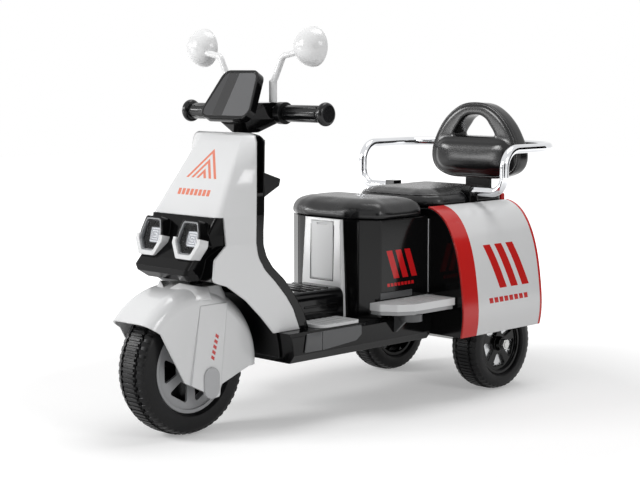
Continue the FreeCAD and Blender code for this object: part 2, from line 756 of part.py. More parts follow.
def mudguard():
    outer = drum(MUDGUARD_RADIUS, MUDGUARD_HALF, MUDGUARD_SHOULDER)
    neck = loft([plan_wire(plan_box(NECK_X, length, half), z, NECK_ROUNDING)
                 for z, length, half in ((NECK_FOOT_Z, NECK_FOOT_LENGTH, NECK_FOOT_HALF),
                                         (NECK_TOP_Z, NECK_TOP_LENGTH, NECK_TOP_HALF))])
    cover = fork_cover()
    body = joined(outer, neck, cover, mirrored(cover))
    inner = drum(MUDGUARD_RADIUS - WALL, MUDGUARD_HALF - WALL, MUDGUARD_SHOULDER - WALL)
    pocket_half = FORK_LEG_WIDTH / 2 + SIDE_PLAY * 4
    pocket = block(crown_x - pocket_half, crown_x + pocket_half, -fork_out - SIDE_PLAY,
                   fork_out + SIDE_PLAY,
                   front_axle_z, crown_top_z + COVER_GAP)
    stem_hole = rod(STEM_RADIUS + SIDE_PLAY, steer_point(crown_z), steer_point(NECK_TOP_Z + CUT_OVERRUN))
    body = body.cut([inner, pocket, stem_hole])
    skirt = [(MUDGUARD_TIP_X * x, MUDGUARD_FOOT_Z + (MUDGUARD_TIP_Z - MUDGUARD_FOOT_Z) * z)
             for x, z in MUDGUARD_SKIRT_SHARES]
    beyond = MUDGUARD_RADIUS + CUT_OVERRUN
    rise = (beyond - MUDGUARD_TIP_X) * MUDGUARD_TIP_RISE_SHARE
    kept = [(beyond, MUDGUARD_TIP_Z + rise), (MUDGUARD_TIP_X, MUDGUARD_TIP_Z)] + skirt
    kept += [(-beyond, skirt[-1][1]), (-beyond, NECK_TOP_Z + CUT_OVERRUN),
             (beyond, NECK_TOP_Z + CUT_OVERRUN)]
    body = body.common(side_prism(kept, -MUDGUARD_RADIUS, MUDGUARD_RADIUS))
    cap = fork_cap()
    return body.cut([cap, mirrored(cap)])


save("front_mudguard", mudguard())
save("fork_caps", fork_cap(), mirrored(fork_cap()))


# Leg shield: the white front moulding, open at the back and round the headlight.
def shield_face_x(z):
    return SHIELD_FACE_X - (z - SHIELD_LAMP_Z) * math.tan(math.radians(SHIELD_RAKE_DEG))


def shield_z(share):
    return SHIELD_FOOT_Z + (SHIELD_TOP_Z - SHIELD_FOOT_Z) * share


def shield_spots(shares):
    """Side-view places between the waist of the shield and its rearmost reach."""
    sweep = SHIELD_REACH - SHIELD_WAIST
    return [(-SHIELD_WAIST - sweep * x, shield_z(z)) for x, z in shares]


def shield_rear_edge():
    return [(shield_face_x(SHIELD_TOP_Z) - SHIELD_TOP_DEPTH,
             SHIELD_TOP_Z)] + shield_spots(SHIELD_REAR_SHARES)


def shield_arch():
    """Lower edge of the cheeks round the front wheel."""
    return [(MUDGUARD_RADIUS * x, shield_z(z)) for x, z in SHIELD_ARCH_SHARES]


def shield_rear_x(z):
    """Rear edge of the white moulding at a height."""
    spots = shield_rear_edge()
    for (x_high, z_high), (x_low, z_low) in zip(spots, spots[1:]):
        if z_low <= z <= z_high:
            return x_low + (x_high - x_low) * (z - z_low) / (z_high - z_low)
    return spots[0][0]


def shield_shell(inset):
    """Body of the upper shield, drawn in by the inset all round except at the rear."""
    levels = []
    for down, draw, back in SHIELD_TOP_SHARES:
        edge = SHIELD_TOP_EDGE * draw
        levels.append((SHIELD_TOP_Z - SHIELD_TOP_EDGE * down - inset, SHIELD_TOP_HALF - edge,
                       SHIELD_REAR_TOP_HALF - edge, SHIELD_TOP_EDGE * back))
    levels += [(SHIELD_LAMP_Z, SHIELD_FACE_HALF, SHIELD_REAR_HALF, 0),
               (SHIELD_CHEEK_Z, SHIELD_REAR_HALF, SHIELD_REAR_HALF, 0)]
    sections = []
    for height, front_half, rear_half, back in levels:
        front = shield_face_x(height) - inset - back
        rear = shield_rear_x(height) - (CUT_OVERRUN if inset else 0)
        half = [(rear, rear_half - inset), (front, front_half - inset)]
        points = [half[0], half[1], (front, inset - front_half), (rear, inset - rear_half)]
        rounding = SHIELD_EDGE_ROUNDING - inset
        sections.append(plan_wire(points, height, [0.0, rounding, rounding, 0.0]))
    return loft(sections)


def shield_front():
    shell = shield_shell(0.0).cut(shield_shell(WALL))
    low = block(HOUSING_REAR_X, FRONT_TYRE_RADIUS, -floor_half, floor_half, SHIELD_CHEEK_Z - CUT_OVERRUN,
                SHIELD_LAMP_Z)
    shell = shell.cut(low)
    rear = shield_spots(SHIELD_REAR_SHARES[1:])
    arch = shield_arch()
    radii = [0.0] + [SHIELD_SWEEP_ROUNDING] * (len(rear) - 2) + [0.0]
    radii += [0.0, SHIELD_ARCH_ROUNDING, SHIELD_ARCH_ROUNDING, 0.0]
    radii += [SHIELD_CORNER_ROUNDING, SHIELD_CORNER_ROUNDING, 0.0]
    cheek = side_prism(rear + arch, SHIELD_REAR_HALF - WALL, SHIELD_REAR_HALF, radii)
    return joined(shell, cheek, mirrored(cheek))


save("leg_shield_front", shield_front())


def column_x(z):
    """Rear face of the steering column cover at a height."""
    up_share = (z - COLUMN_FOOT_Z) / (COLUMN_TOP_Z - COLUMN_FOOT_Z)
    return COLUMN_FOOT_X + (COLUMN_TOP_X - COLUMN_FOOT_X) * up_share


def column_cover(inset):
    """Tapered box round the steering column, drawn in by the inset except at the front."""
    sections = []
    for z, wide in ((COLUMN_FOOT_Z + inset, COLUMN_FOOT_HALF), (COLUMN_TOP_Z - inset, COLUMN_TOP_HALF)):
        rear = column_x(z) + inset
        front = shield_rear_x(z) - WALL
        edge = wide - inset
        rounding = SHIELD_EDGE_ROUNDING - inset
        sections.append(plan_wire([(rear, -edge), (front, -edge), (front, edge), (rear, edge)], z,
                                  [rounding, 0.0, 0.0, rounding]))
    return loft(sections)


def arch_spot(radius, turn_deg):
    """Place on a circle round the mudguard, in the side view."""
    angle = math.radians(turn_deg)
    return (MUDGUARD_SHIFT + radius * math.cos(angle), front_axle_z + radius * math.sin(angle))


# Leg shield inner: the black moulding behind it, with the column cover, wheel arch and head tube.
def shield_inner():
    front_edge = [(x - COVER_GAP, z) for x, z in shield_rear_edge()]
    front_edge[-1] = (front_edge[-1][0], FLOOR_Z + COVER_GAP)
    rear_edge = shield_spots(INNER_REAR_SHARES)
    rear_edge.append((shield_face_x(SHIELD_TOP_Z) - INNER_TOP_DEPTH, SHIELD_TOP_Z - INNER_TOP_DROP))
    rear_edge[0] = (rear_edge[0][0], FLOOR_Z + COVER_GAP)
    rear_radii = [0.0] + [INNER_SWEEP_ROUNDING] * (len(INNER_REAR_SHARES) - 2)
    rear_radii += [0.0, SHIELD_CORNER_ROUNDING]
    radii = [0.0, 0.0, 0.0] + [SHIELD_SWEEP_ROUNDING] * (len(SHIELD_REAR_SHARES) - 3) + [0.0] + rear_radii
    half = SHIELD_REAR_HALF - COVER_GAP
    band = side_prism(front_edge + rear_edge, -half, half, radii)
    top_half = SHIELD_REAR_TOP_HALF - COVER_GAP
    front_view = both_sides([(half, FLOOR_Z), (half, SHIELD_LAMP_Z),
                             (top_half, SHIELD_TOP_Z - SHIELD_TOP_EDGE),
                             (top_half - SHIELD_TOP_EDGE, SHIELD_TOP_Z)])
    band = band.common(front_prism(front_view, -2 * SHIELD_REACH, 0))
    hollow = place(band, WALL, 0, 0)
    hollow = hollow.common(block(-2 * SHIELD_REACH, 0, WALL - half, half - WALL, FLOOR_Z,
                                 SHIELD_TOP_Z - 2 * WALL))
    band = band.cut(hollow)
    column = column_cover(0.0).cut(column_cover(WALL))
    tube_radius = BUSH_RADIUS + HEAD_TUBE_WALL
    tube = rod(tube_radius, steer_point(BUSH_LOW_Z), steer_point(BUSH_HIGH_Z) + steer_up * BUSH_LENGTH)
    liner_radius = MUDGUARD_RADIUS + LINER_GAP
    liner_half = half - WALL - COVER_GAP
    arch = ring(liner_radius + WALL, liner_radius, -liner_half, liner_half, MUDGUARD_SHIFT, front_axle_z)
    spread = [(MUDGUARD_SHIFT, front_axle_z)]
    for turn in (LINER_START_DEG, (LINER_START_DEG + LINER_END_DEG) / 2, LINER_END_DEG):
        spread.append(arch_spot(2 * liner_radius, turn))
    arch = arch.common(side_prism(spread, -half, half))
    inside = side_prism(rear_edge + [(0, SHIELD_TOP_Z), (0, FLOOR_Z + COVER_GAP)], -half, half,
                        rear_radii[:-1] + [0.0, 0.0, 0.0])
    web_points = [arch_spot(liner_radius + WALL / 2, LINER_START_DEG),
                  (steer_x(SHIELD_CHEEK_Z), SHIELD_LAMP_Z),
                  (rear_edge[-2][0], SHIELD_LAMP_Z), rear_edge[3], arch_spot(liner_radius, LINER_WEB_DEG)]
    webs = []
    for middle in (-LINER_WEB_SPACING, 0, LINER_WEB_SPACING):
        web = side_prism(web_points, middle - WALL, middle + WALL).common(inside)
        webs.append(web.cut(disc(liner_radius + WALL / 2, middle - WALL, middle + WALL, MUDGUARD_SHIFT,
                                 front_axle_z)))
    body = joined(band, column, tube, arch, *webs)
    bore = rod(STEM_RADIUS + SIDE_PLAY, steer_point(NECK_TOP_Z), steer_point(SHIELD_TOP_Z + CUT_OVERRUN))
    seats = [rod(BUSH_RADIUS, steer_point(BUSH_LOW_Z) - steer_up * CUT_OVERRUN,
                 steer_point(BUSH_LOW_Z) + steer_up * BUSH_LENGTH),
             rod(BUSH_RADIUS, steer_point(BUSH_HIGH_Z), steer_point(SHIELD_TOP_Z + CUT_OVERRUN))]
    return body.cut([bore] + seats)


def steering_bush(z):
    start = steer_point(z)
    end = start + steer_up * BUSH_LENGTH
    return rod(BUSH_RADIUS, start, end).cut(rod(STEM_RADIUS + RUNNING_GAP, start, end))


save("leg_shield_inner", shield_inner())
save("steering_bushes", steering_bush(BUSH_LOW_Z), steering_bush(BUSH_HIGH_Z))


# Bag hook screwed to the column cover.
def bag_hook():
    points = []
    for out, drop in HOOK_SHARES:
        z = HOOK_TOP_Z - (HOOK_TOP_Z - HOOK_FOOT_Z) * drop
        points.append((column_x(z) - COVER_GAP - HOOK_REACH * out, z))
    return side_prism(points, -HOOK_HALF, HOOK_HALF, [0.0, HOOK_ROUNDING / 2, HOOK_ROUNDING / 2,
                                                      HOOK_ROUNDING, 0.0])


save("bag_hook", bag_hook())


# Headlight housing: the black nose between the cheeks, hollow behind, with two lamp pockets.
lamp_pitch = math.radians(LAMP_PITCH_DEG)
lamp_out = V(math.cos(lamp_pitch), 0, math.sin(lamp_pitch))
lamp_rise = V(-math.sin(lamp_pitch), 0, math.cos(lamp_pitch))
lamp_middle = V(LAMP_X, LAMP_HALF_SPAN, LAMP_Z)


def housing_shell(inset):
    height = SHIELD_LAMP_Z - HOUSING_CHIN_Z
    sections = []
    last = len(HOUSING_LEVEL_SHARES) - 1
    for index, (up, forward, front_share, rear_share) in enumerate(HOUSING_LEVEL_SHARES):
        z = HOUSING_CHIN_Z + height * up
        z -= COVER_GAP + inset if index == 0 else 0
        z += inset if index == last else 0
        front = SHIELD_FACE_X + (HOUSING_NOSE_X - SHIELD_FACE_X) * forward - inset
        rear = HOUSING_REAR_X + COVER_GAP - (CUT_OVERRUN if inset else 0)
        front_half = HOUSING_BROW_HALF * front_share - inset
        rear_half = HOUSING_BROW_HALF * rear_share - inset
        rounding = HOUSING_ROUNDING - inset
        sections.append(plan_wire([(rear, -rear_half), (front, -front_half), (front, front_half),
                                   (rear, rear_half)],
                                  z, [0.0, rounding, rounding, 0.0]))
    return loft(sections)


def lamp_wire(inset, out):
    """Six-sided lamp outline of the left lamp, drawn in by the inset, at a distance along its beam."""
    points = []
    for across, up in LAMP_OUTLINE_SHARES:
        points.append(((LAMP_HALF_WIDTH - inset) * across, (LAMP_HALF_HEIGHT - inset) * up))
    points = both_sides(points)
    spots = [lamp_middle + LEFT * y + lamp_rise * z + lamp_out * out for y, z in points]
    return outline(spots, LAMP_ROUNDING)


def lamp_prism(inset, back, front):
    return Part.Face(lamp_wire(inset, back)).extrude(lamp_out * (front - back))


def lamp_bezel():
    return lamp_prism(COVER_GAP, -LAMP_DEPTH, 0).cut(
        lamp_prism(LAMP_BEZEL_WALL, REFLECTOR_WALL - LAMP_DEPTH, CUT_OVERRUN))


def lamp_trim():
    """Thick white surround of the lower half of the left lamp."""
    around = lamp_prism(COVER_GAP - TRIM_WIDTH, -TRIM_LENGTH, TRIM_PROUD)
    around = around.cut(lamp_prism(0, -TRIM_LENGTH - CUT_OVERRUN, TRIM_PROUD + CUT_OVERRUN))
    level = lamp_middle - lamp_out * FRONT_TYRE_RADIUS - LEFT * FRONT_TYRE_RADIUS
    across = LEFT * 2 * FRONT_TYRE_RADIUS
    above = lamp_rise * FRONT_TYRE_RADIUS
    upper = Part.Face(outline([level, level + across, level + across + above, level + above]))
    upper = upper.extrude(lamp_out * 2 * FRONT_TYRE_RADIUS)
    return around.cut(upper).cut(block(-SHIELD_REACH, SHIELD_REACH, -SHIELD_REACH, TRIM_GAP / 2, 0,
                                       SHIELD_TOP_Z))


def lamp_reflector():
    """Bright pan with a square projector block in the left lamp."""
    edge = LAMP_BEZEL_WALL + COVER_GAP
    back = REFLECTOR_WALL + COVER_GAP - LAMP_DEPTH
    front = -LENS_SETBACK - COVER_GAP
    pan = lamp_prism(edge, back, front).cut(lamp_prism(edge + REFLECTOR_WALL, back + REFLECTOR_WALL,
                                                       CUT_OVERRUN))
    corner = lamp_middle + lamp_out * back
    wire = outline([corner + LEFT * y + lamp_rise * z for y, z in (
        (-PROJECTOR_HALF, -PROJECTOR_HALF), (PROJECTOR_HALF, -PROJECTOR_HALF),
        (PROJECTOR_HALF, PROJECTOR_HALF), (-PROJECTOR_HALF, PROJECTOR_HALF))], PROJECTOR_HALF / 3)
    return joined(pan, Part.Face(wire).extrude(lamp_out * PROJECTOR_LENGTH))


def lamp_lens():
    return lamp_prism(LAMP_BEZEL_WALL + COVER_GAP, -LENS_SETBACK, LENS_THICKNESS - LENS_SETBACK)


def headlight_housing():
    shell = housing_shell(0.0)
    neck_half = SHIELD_REAR_HALF - WALL - 2 * COVER_GAP
    arch = shield_arch()
    neck_points = [(HOUSING_REAR_X, SHIELD_CHEEK_Z), arch[5], (arch[4][0], HOUSING_CHIN_Z),
                   (HOUSING_REAR_X, HOUSING_CHIN_Z)]
    neck = side_prism(neck_points, -neck_half, neck_half)
    shell = joined(shell, neck)
    hollow = housing_shell(WALL).cut(block(-SHIELD_REACH, SHIELD_REACH, -SHIELD_REACH, SHIELD_REACH, 0,
                                           SHIELD_CHEEK_Z - LAMP_HALF_HEIGHT))
    shell = shell.cut(hollow)
    cup = lamp_prism(-WALL, -LAMP_DEPTH - WALL, -COVER_GAP)
    shell = joined(shell, cup, mirrored(cup))
    pocket = lamp_prism(0, -LAMP_DEPTH - COVER_GAP, LAMP_DEPTH + CUT_OVERRUN)
    trim_space = lamp_trim()
    shell = shell.cut([pocket, mirrored(pocket), trim_space, mirrored(trim_space)])
    return shell


save("headlight_housing", headlight_housing())
for name, lamp_piece in (("lamp_bezels", lamp_bezel()), ("lamp_trims", lamp_trim()),
                         ("lamp_reflectors", lamp_reflector()), ("lamp_lenses", lamp_lens())):
    save(name, lamp_piece, mirrored(lamp_piece))


# Handlebar: a cross tube in a two-piece cover, with grips, collars and push buttons.
visor_lean = math.radians(VISOR_RAKE_DEG)
visor_up = V(-math.sin(visor_lean), 0, math.cos(visor_lean))
visor_out = V(math.cos(visor_lean), 0, math.sin(visor_lean))
visor_foot = V(VISOR_FOOT_X, 0, VISOR_FOOT_Z)


def visor_plate(border, setback, thickness):
    """Leaning plate of the visor outline, drawn in by the border, behind its front face."""
    points = both_sides([(VISOR_FOOT_HALF - border, border),
                         (VISOR_TOP_HALF - border, VISOR_HEIGHT - border)])
    spots = [visor_foot + LEFT * y + visor_up * up - visor_out * setback for y, up in points]
    return Part.Face(outline(spots, VISOR_ROUNDING - border)).extrude(visor_out * -thickness)


def visor_back_x(z):
    """Rear face of the visor at a height."""
    return VISOR_FOOT_X - VISOR_THICKNESS / math.cos(visor_lean) - (z - VISOR_FOOT_Z) * math.tan(visor_lean)


def bar_across(radius, y_from, y_to):
    return disc(radius, y_from, y_to, BAR_X, BAR_Z)


def rear_cover():
    waist_front = visor_back_x(COVER_WAIST_Z) - COVER_GAP
    top_front = visor_back_x(COVER_TOP_Z) - COVER_GAP
    levels = ((COVER_FOOT_Z, steer_x(COVER_FOOT_Z) - COVER_FOOT_LENGTH / 2,
               steer_x(COVER_FOOT_Z) + COVER_FOOT_LENGTH / 2, COVER_FOOT_HALF, COVER_FOOT_HALF),
              (COVER_WAIST_Z, COVER_REAR_X, waist_front, COVER_HALF, COVER_HALF * COVER_WAIST_SHARE),
              (COVER_TOP_Z, COVER_REAR_X, top_front, COVER_HALF, COVER_HALF))
    body = loft([plan_wire([(rear, -half), (front, -ahead), (front, ahead), (rear, half)], z, COVER_ROUNDING)
                 for z, rear, front, half, ahead in levels])
    bore = bar_across(BAR_RADIUS + RUNNING_GAP, -COVER_HALF - CUT_OVERRUN, COVER_HALF + CUT_OVERRUN)
    stem = rod(STEM_RADIUS + RUNNING_GAP, steer_point(COVER_FOOT_Z - CUT_OVERRUN), steer_point(STEM_TOP_Z))
    cuts = [bore, stem]
    for side in (-1, 1):
        start = V(COVER_REAR_X - CUT_OVERRUN, side * BUTTON_Y, BAR_Z)
        depth = CUT_OVERRUN + BUTTON_LENGTH - BUTTON_PROUD + BUTTON_TRAVEL + SIDE_PLAY
        cuts.append(rod(BUTTON_RADIUS + RUNNING_GAP, start, start + AHEAD * depth))
        peg_end = V(MIRROR_STEM_X, side * MIRROR_STEM_Y, COVER_TOP_Z - MIRROR_PEG_LENGTH - SIDE_PLAY)
        cuts.append(rod(MIRROR_PEG_RADIUS + RUNNING_GAP, peg_end,
                        peg_end + UP * (MIRROR_PEG_LENGTH + CUT_OVERRUN)))
    return body.cut(cuts)


def button(side):
    start = V(COVER_REAR_X - BUTTON_PROUD, side * BUTTON_Y, BAR_Z)
    cap = rod(BUTTON_RADIUS, start, start + AHEAD * BUTTON_LENGTH)
    rims = [edge for edge in cap.Edges if edge.BoundBox.XMax < start.x + CLOSE_ENOUGH]
    return cap.makeFillet(BUTTON_PROUD / 3, rims)


def grip():
    """Left grip: a sleeve with a domed flange at its outer end."""
    knob_start = GRIP_END - GRIP_KNOB_LENGTH
    sleeve = bar_across(GRIP_RADIUS, GRIP_START, GRIP_END - GRIP_KNOB_LENGTH / 2)
    knob = bar_across(GRIP_KNOB_RADIUS, knob_start, GRIP_END)
    rims = [edge for edge in knob.Edges if isinstance(edge.Curve, Part.Circle)]
    knob = knob.makeFillet(GRIP_KNOB_LENGTH / 2 - SIDE_PLAY, rims)
    bore = bar_across(BAR_RADIUS + RUNNING_GAP, GRIP_START - CUT_OVERRUN, GRIP_END - 2 * WALL)
    return joined(sleeve, knob).cut(bore)


def collar():
    inner = COVER_HALF + COVER_GAP
    outer = GRIP_START - COVER_GAP
    return bar_across(COLLAR_RADIUS, inner, outer).cut(bar_across(BAR_RADIUS + RUNNING_GAP, inner, outer))


bar_reach = GRIP_END - 2 * WALL - SIDE_PLAY
save("handlebar_tube", bar_across(BAR_RADIUS, -bar_reach, bar_reach))
save("handlebar_cover_front", visor_plate(0.0, 0.0, VISOR_THICKNESS).cut(
    visor_plate(DASH_BORDER, -CUT_OVERRUN, DASH_THICKNESS + COVER_GAP + CUT_OVERRUN)))
save("handlebar_cover_rear", rear_cover())
save("dash_plate", visor_plate(DASH_BORDER + COVER_GAP, COVER_GAP, DASH_THICKNESS))
save("bar_collars", collar(), mirrored(collar()))
save("grips", grip(), mirrored(grip()))
save("horn_button", button(-1))
save("music_button", button(1))


# Mirrors: a stem that swivels in the cover, an arm and a domed shell with the glass facing the rider.
def mirror_sphere(depth):
    radius = (MIRROR_RADIUS ** 2 + MIRROR_DEPTH ** 2) / (2 * MIRROR_DEPTH)
    middle = V(MIRROR_X + MIRROR_DEPTH - radius, MIRROR_Y, MIRROR_Z)
    return Part.makeSphere(radius - depth, middle)


def mirror_shell():
    """Left mirror without its glass."""
    front = block(MIRROR_X, MIRROR_X + 2 * MIRROR_DEPTH, MIRROR_Y - 2 * MIRROR_RADIUS,
                  MIRROR_Y + 2 * MIRROR_RADIUS,
                  MIRROR_Z - 2 * MIRROR_RADIUS, MIRROR_Z + 2 * MIRROR_RADIUS)
    dome = mirror_sphere(0.0).common(front)
    base = V(MIRROR_STEM_X, MIRROR_STEM_Y, COVER_TOP_Z + COVER_GAP)
    top = V(MIRROR_STEM_X, MIRROR_STEM_Y, MIRROR_STEM_TOP_Z)
    stem = rod(MIRROR_STEM_RADIUS, base, top)
    rims = [edge for edge in stem.Edges if edge.BoundBox.ZMin > top.z - CLOSE_ENOUGH]
    stem = stem.makeFillet(MIRROR_STEM_RADIUS / 2, rims)
    peg = rod(MIRROR_PEG_RADIUS, base - UP * (MIRROR_PEG_LENGTH + COVER_GAP), base)
    elbow = V(MIRROR_STEM_X, MIRROR_ELBOW_Y, MIRROR_ELBOW_Z)
    end = V(MIRROR_X + MIRROR_DEPTH / 2, MIRROR_Y - MIRROR_RADIUS / 2, MIRROR_Z - MIRROR_DEPTH / 4)
    arm = bent_tube([top - UP * MIRROR_STEM_RADIUS, elbow, end], [2 * MIRROR_STEM_RADIUS],
                    MIRROR_ARM_RADIUS)
    body = joined(dome, stem, peg, arm)
    seat = rod(MIRROR_RADIUS - MIRROR_RIM, V(MIRROR_X - CUT_OVERRUN, MIRROR_Y, MIRROR_Z),
               V(MIRROR_X + MIRROR_GLASS_THICKNESS + COVER_GAP, MIRROR_Y, MIRROR_Z))
    return body.cut([mirror_sphere(WALL).common(front), seat])


def mirror_glass():
    start = V(MIRROR_X + COVER_GAP / 2, MIRROR_Y, MIRROR_Z)
    return rod(MIRROR_RADIUS - MIRROR_RIM - COVER_GAP, start, start + AHEAD * MIRROR_GLASS_THICKNESS)


save("mirror_left", mirror_shell())
save("mirror_right", mirrored(mirror_shell()))
save("mirror_glass_left", mirror_glass())
save("mirror_glass_right", mirrored(mirror_glass()))


# Chassis: one black moulding, open below, with the floor, the rear tray and the axle carriers.
def floor_outline(inset):
    half = floor_half - inset
    height = FLOOR_Z - CHASSIS_FOOT_Z
    return both_sides([(half * across, CHASSIS_FOOT_Z + height * up) for across, up in FLOOR_EDGE_SHARES])


def pedal_ear(side):
    """Ear beside the pedal, with the hole for its pin."""
    inner = pedal_y + side * (pedal_half + SIDE_PLAY)
    outer = inner + side * PEDAL_EAR_THICKNESS
    low, high = sorted((inner, outer))
    top = FLOOR_Z + PEDAL_EAR_HEIGHT
    half = PEDAL_BARREL_RADIUS + WALL
    ear = side_prism([(pedal_hinge_x - half, FLOOR_Z - WALL), (pedal_hinge_x + half, FLOOR_Z - WALL),
                      (pedal_hinge_x + half, top), (pedal_hinge_x - half, top)], low, high,
                     [0.0, 0.0, half - SIDE_PLAY, half - SIDE_PLAY])
    return ear.cut(disc(PEDAL_PIN_RADIUS + RUNNING_GAP, low - SIDE_PLAY, high + SIDE_PLAY, pedal_hinge_x,
                        pedal_hinge_z))


pedal_hinge_z = FLOOR_Z + PEDAL_EAR_HEIGHT - PEDAL_BARREL_RADIUS - WALL
axle_bore = REAR_AXLE_RADIUS + RUNNING_GAP


def axle_carrier():
    """Left side plate of the rear tray that holds the axle."""
    inner = tray_half - CARRIER_THICKNESS
    half = CARRIER_LENGTH / 2
    plate = side_prism([(rear_axle_x - half, TRAY_TOP_Z), (rear_axle_x - half, CHASSIS_FOOT_Z),
                        (rear_axle_x - CARRIER_RADIUS, rear_axle_z), (rear_axle_x + CARRIER_RADIUS,
                                                                      rear_axle_z),
                        (rear_axle_x + half, CHASSIS_FOOT_Z), (rear_axle_x + half,
                                                               TRAY_TOP_Z)], inner, tray_half)
    return joined(plate, disc(CARRIER_RADIUS, inner, tray_half, rear_axle_x, rear_axle_z))


def chassis():
    floor = front_prism(floor_outline(0.0), box_rear_x, FLOOR_FRONT_X)
    inner_half = floor_half * FLOOR_EDGE_SHARES[0][0] - WALL
    under = block(box_rear_x + WALL, FLOOR_FRONT_X + CUT_OVERRUN, -inner_half, inner_half,
                  CHASSIS_FOOT_Z - CUT_OVERRUN, FLOOR_Z - WALL)
    arch = disc(ARCH_RADIUS + WALL, -floor_half, floor_half, MUDGUARD_SHIFT, front_axle_z)
    shell = floor.cut(under)
    shell = joined(shell, floor.common(arch))
    tray = block(body_rear_x + WALL, box_rear_x + WALL, -tray_half, tray_half, CHASSIS_FOOT_Z, TRAY_TOP_Z)
    tray_under = block(body_rear_x + 2 * WALL, box_rear_x, WALL - tray_half, tray_half - WALL,
                       CHASSIS_FOOT_Z - CUT_OVERRUN, TRAY_TOP_Z - WALL)
    tray = tray.cut(tray_under)
    carrier = axle_carrier()
    body = joined(shell, tray, carrier, mirrored(carrier), pedal_ear(-1), pedal_ear(1))
    arch_cut = disc(ARCH_RADIUS, -floor_half - CUT_OVERRUN, floor_half + CUT_OVERRUN, MUDGUARD_SHIFT,
                    front_axle_z)
    bore = disc(axle_bore, -tray_half - CUT_OVERRUN, tray_half + CUT_OVERRUN, rear_axle_x, rear_axle_z)
    shaft = disc(MOTOR_BOSS_RADIUS + COVER_GAP, -tray_half - CUT_OVERRUN, -tray_half / 2, motor_x, motor_z)
    return body.cut([arch_cut, bore, shaft])


gear_turn = math.radians(GEAR_TILT_DEG)
drive_distance = DRIVE_MODULE * (DRIVE_TEETH + SMALL_TEETH) / 2 + MESH_PLAY
pinion_distance = BIG_MODULE * (BIG_TEETH + PINION_TEETH) / 2 + MESH_PLAY
reduction_x = rear_axle_x + drive_distance * math.cos(gear_turn)
reduction_z = rear_axle_z + drive_distance * math.sin(gear_turn)
motor_x = reduction_x + pinion_distance * math.cos(gear_turn)
motor_z = reduction_z + pinion_distance * math.sin(gear_turn)
save("chassis_base", chassis())


# Floor fittings: ribbed mats, white sill panels, the tunnel cover and the accelerator pedal.
def mat(with_pedal_gap):
    low = FLOOR_Z + COVER_GAP
    points = [(mat_front_x, tunnel_half + MAT_EDGE), (mat_front_x, floor_half - MAT_EDGE),
              (mat_rear_x, floor_half - MAT_EDGE), (mat_rear_x, tunnel_half + MAT_EDGE)]
    body = plan_prism(points, low, low + MAT_THICKNESS, [WALL, MAT_ROUNDING, WALL, WALL])
    pitch = (mat_front_x - mat_rear_x) / (MAT_RIB_COUNT + 1)
    for index in range(1, MAT_RIB_COUNT + 1):
        x = mat_front_x - pitch * index
        groove = block(x - MAT_RIB_WIDTH / 2, x + MAT_RIB_WIDTH / 2, 0, floor_half,
                       low + MAT_THICKNESS - MAT_RIB_HEIGHT, low + MAT_THICKNESS + CUT_OVERRUN)
        body = body.cut(groove)
    if with_pedal_gap:
        half = pedal_half + PEDAL_EAR_THICKNESS + PEDAL_CLEARANCE
        body = body.cut(block(pedal_hinge_x - PEDAL_BARREL_RADIUS - WALL - PEDAL_CLEARANCE,
                              pedal_hinge_x + pedal_length + PEDAL_CLEARANCE,
                              -pedal_y - half, -pedal_y + half, FLOOR_Z, BOX_TOP_Z))
    return body


def sill():
    length = mat_front_x - mat_rear_x
    height = SILL_TOP_Z - SILL_FOOT_Z
    points = [(mat_front_x - length * back, SILL_FOOT_Z + height * up) for back, up in SILL_SHARES]
    inner = floor_half + COVER_GAP
    return side_prism(points, inner, inner + SILL_THICKNESS, [WALL, WALL, SILL_THICKNESS * 2, WALL, WALL])


def tunnel():
    """Raised cover along the middle of the floor, hollow below."""
    rear = box_front_x + PANEL_THICKNESS + PANEL_FOOT_LEAN + COVER_GAP
    low = FLOOR_Z + COVER_GAP
    outer = front_prism([(-tunnel_half, low), (tunnel_half, low), (tunnel_half, TUNNEL_TOP_Z),
                         (-tunnel_half, TUNNEL_TOP_Z)], rear, tunnel_front_x,
                        [0.0, 0.0, TUNNEL_ROUNDING, TUNNEL_ROUNDING])
    inner = front_prism([(WALL - tunnel_half, low), (tunnel_half - WALL, low),
                         (tunnel_half - WALL, TUNNEL_TOP_Z - WALL),
                         (WALL - tunnel_half, TUNNEL_TOP_Z - WALL)], rear, tunnel_front_x - WALL,
                        [0.0, 0.0, TUNNEL_ROUNDING - WALL, TUNNEL_ROUNDING - WALL])
    return outer.cut(inner)


def pedal():
    """Accelerator plate, hinged at its heel, with pins that turn in the floor ears."""
    barrel = disc(PEDAL_BARREL_RADIUS, pedal_y - pedal_half, pedal_y + pedal_half, pedal_hinge_x,
                  pedal_hinge_z)
    pins = disc(PEDAL_PIN_RADIUS, pedal_y - pedal_half - PEDAL_EAR_THICKNESS,
                pedal_y + pedal_half + PEDAL_EAR_THICKNESS,
                pedal_hinge_x, pedal_hinge_z)
    plate = plan_prism([(pedal_hinge_x, pedal_y - pedal_half),
                        (pedal_hinge_x + pedal_length, pedal_y - pedal_half),
                        (pedal_hinge_x + pedal_length, pedal_y + pedal_half), (pedal_hinge_x,
                                                                               pedal_y + pedal_half)],
                       pedal_hinge_z - PEDAL_THICKNESS / 2, pedal_hinge_z + PEDAL_THICKNESS / 2,
                       [0.0, MAT_EDGE * 3, MAT_EDGE * 3, 0.0])
    plate.rotate(V(pedal_hinge_x, 0, pedal_hinge_z), LEFT, -PEDAL_RISE_DEG)
    return joined(barrel, pins, plate)


save("foot_mats", mat(False), mirrored(mat(True)))
save("sill_panels", sill(), mirrored(sill()))
save("floor_tunnel", tunnel())
save("foot_pedal", pedal())


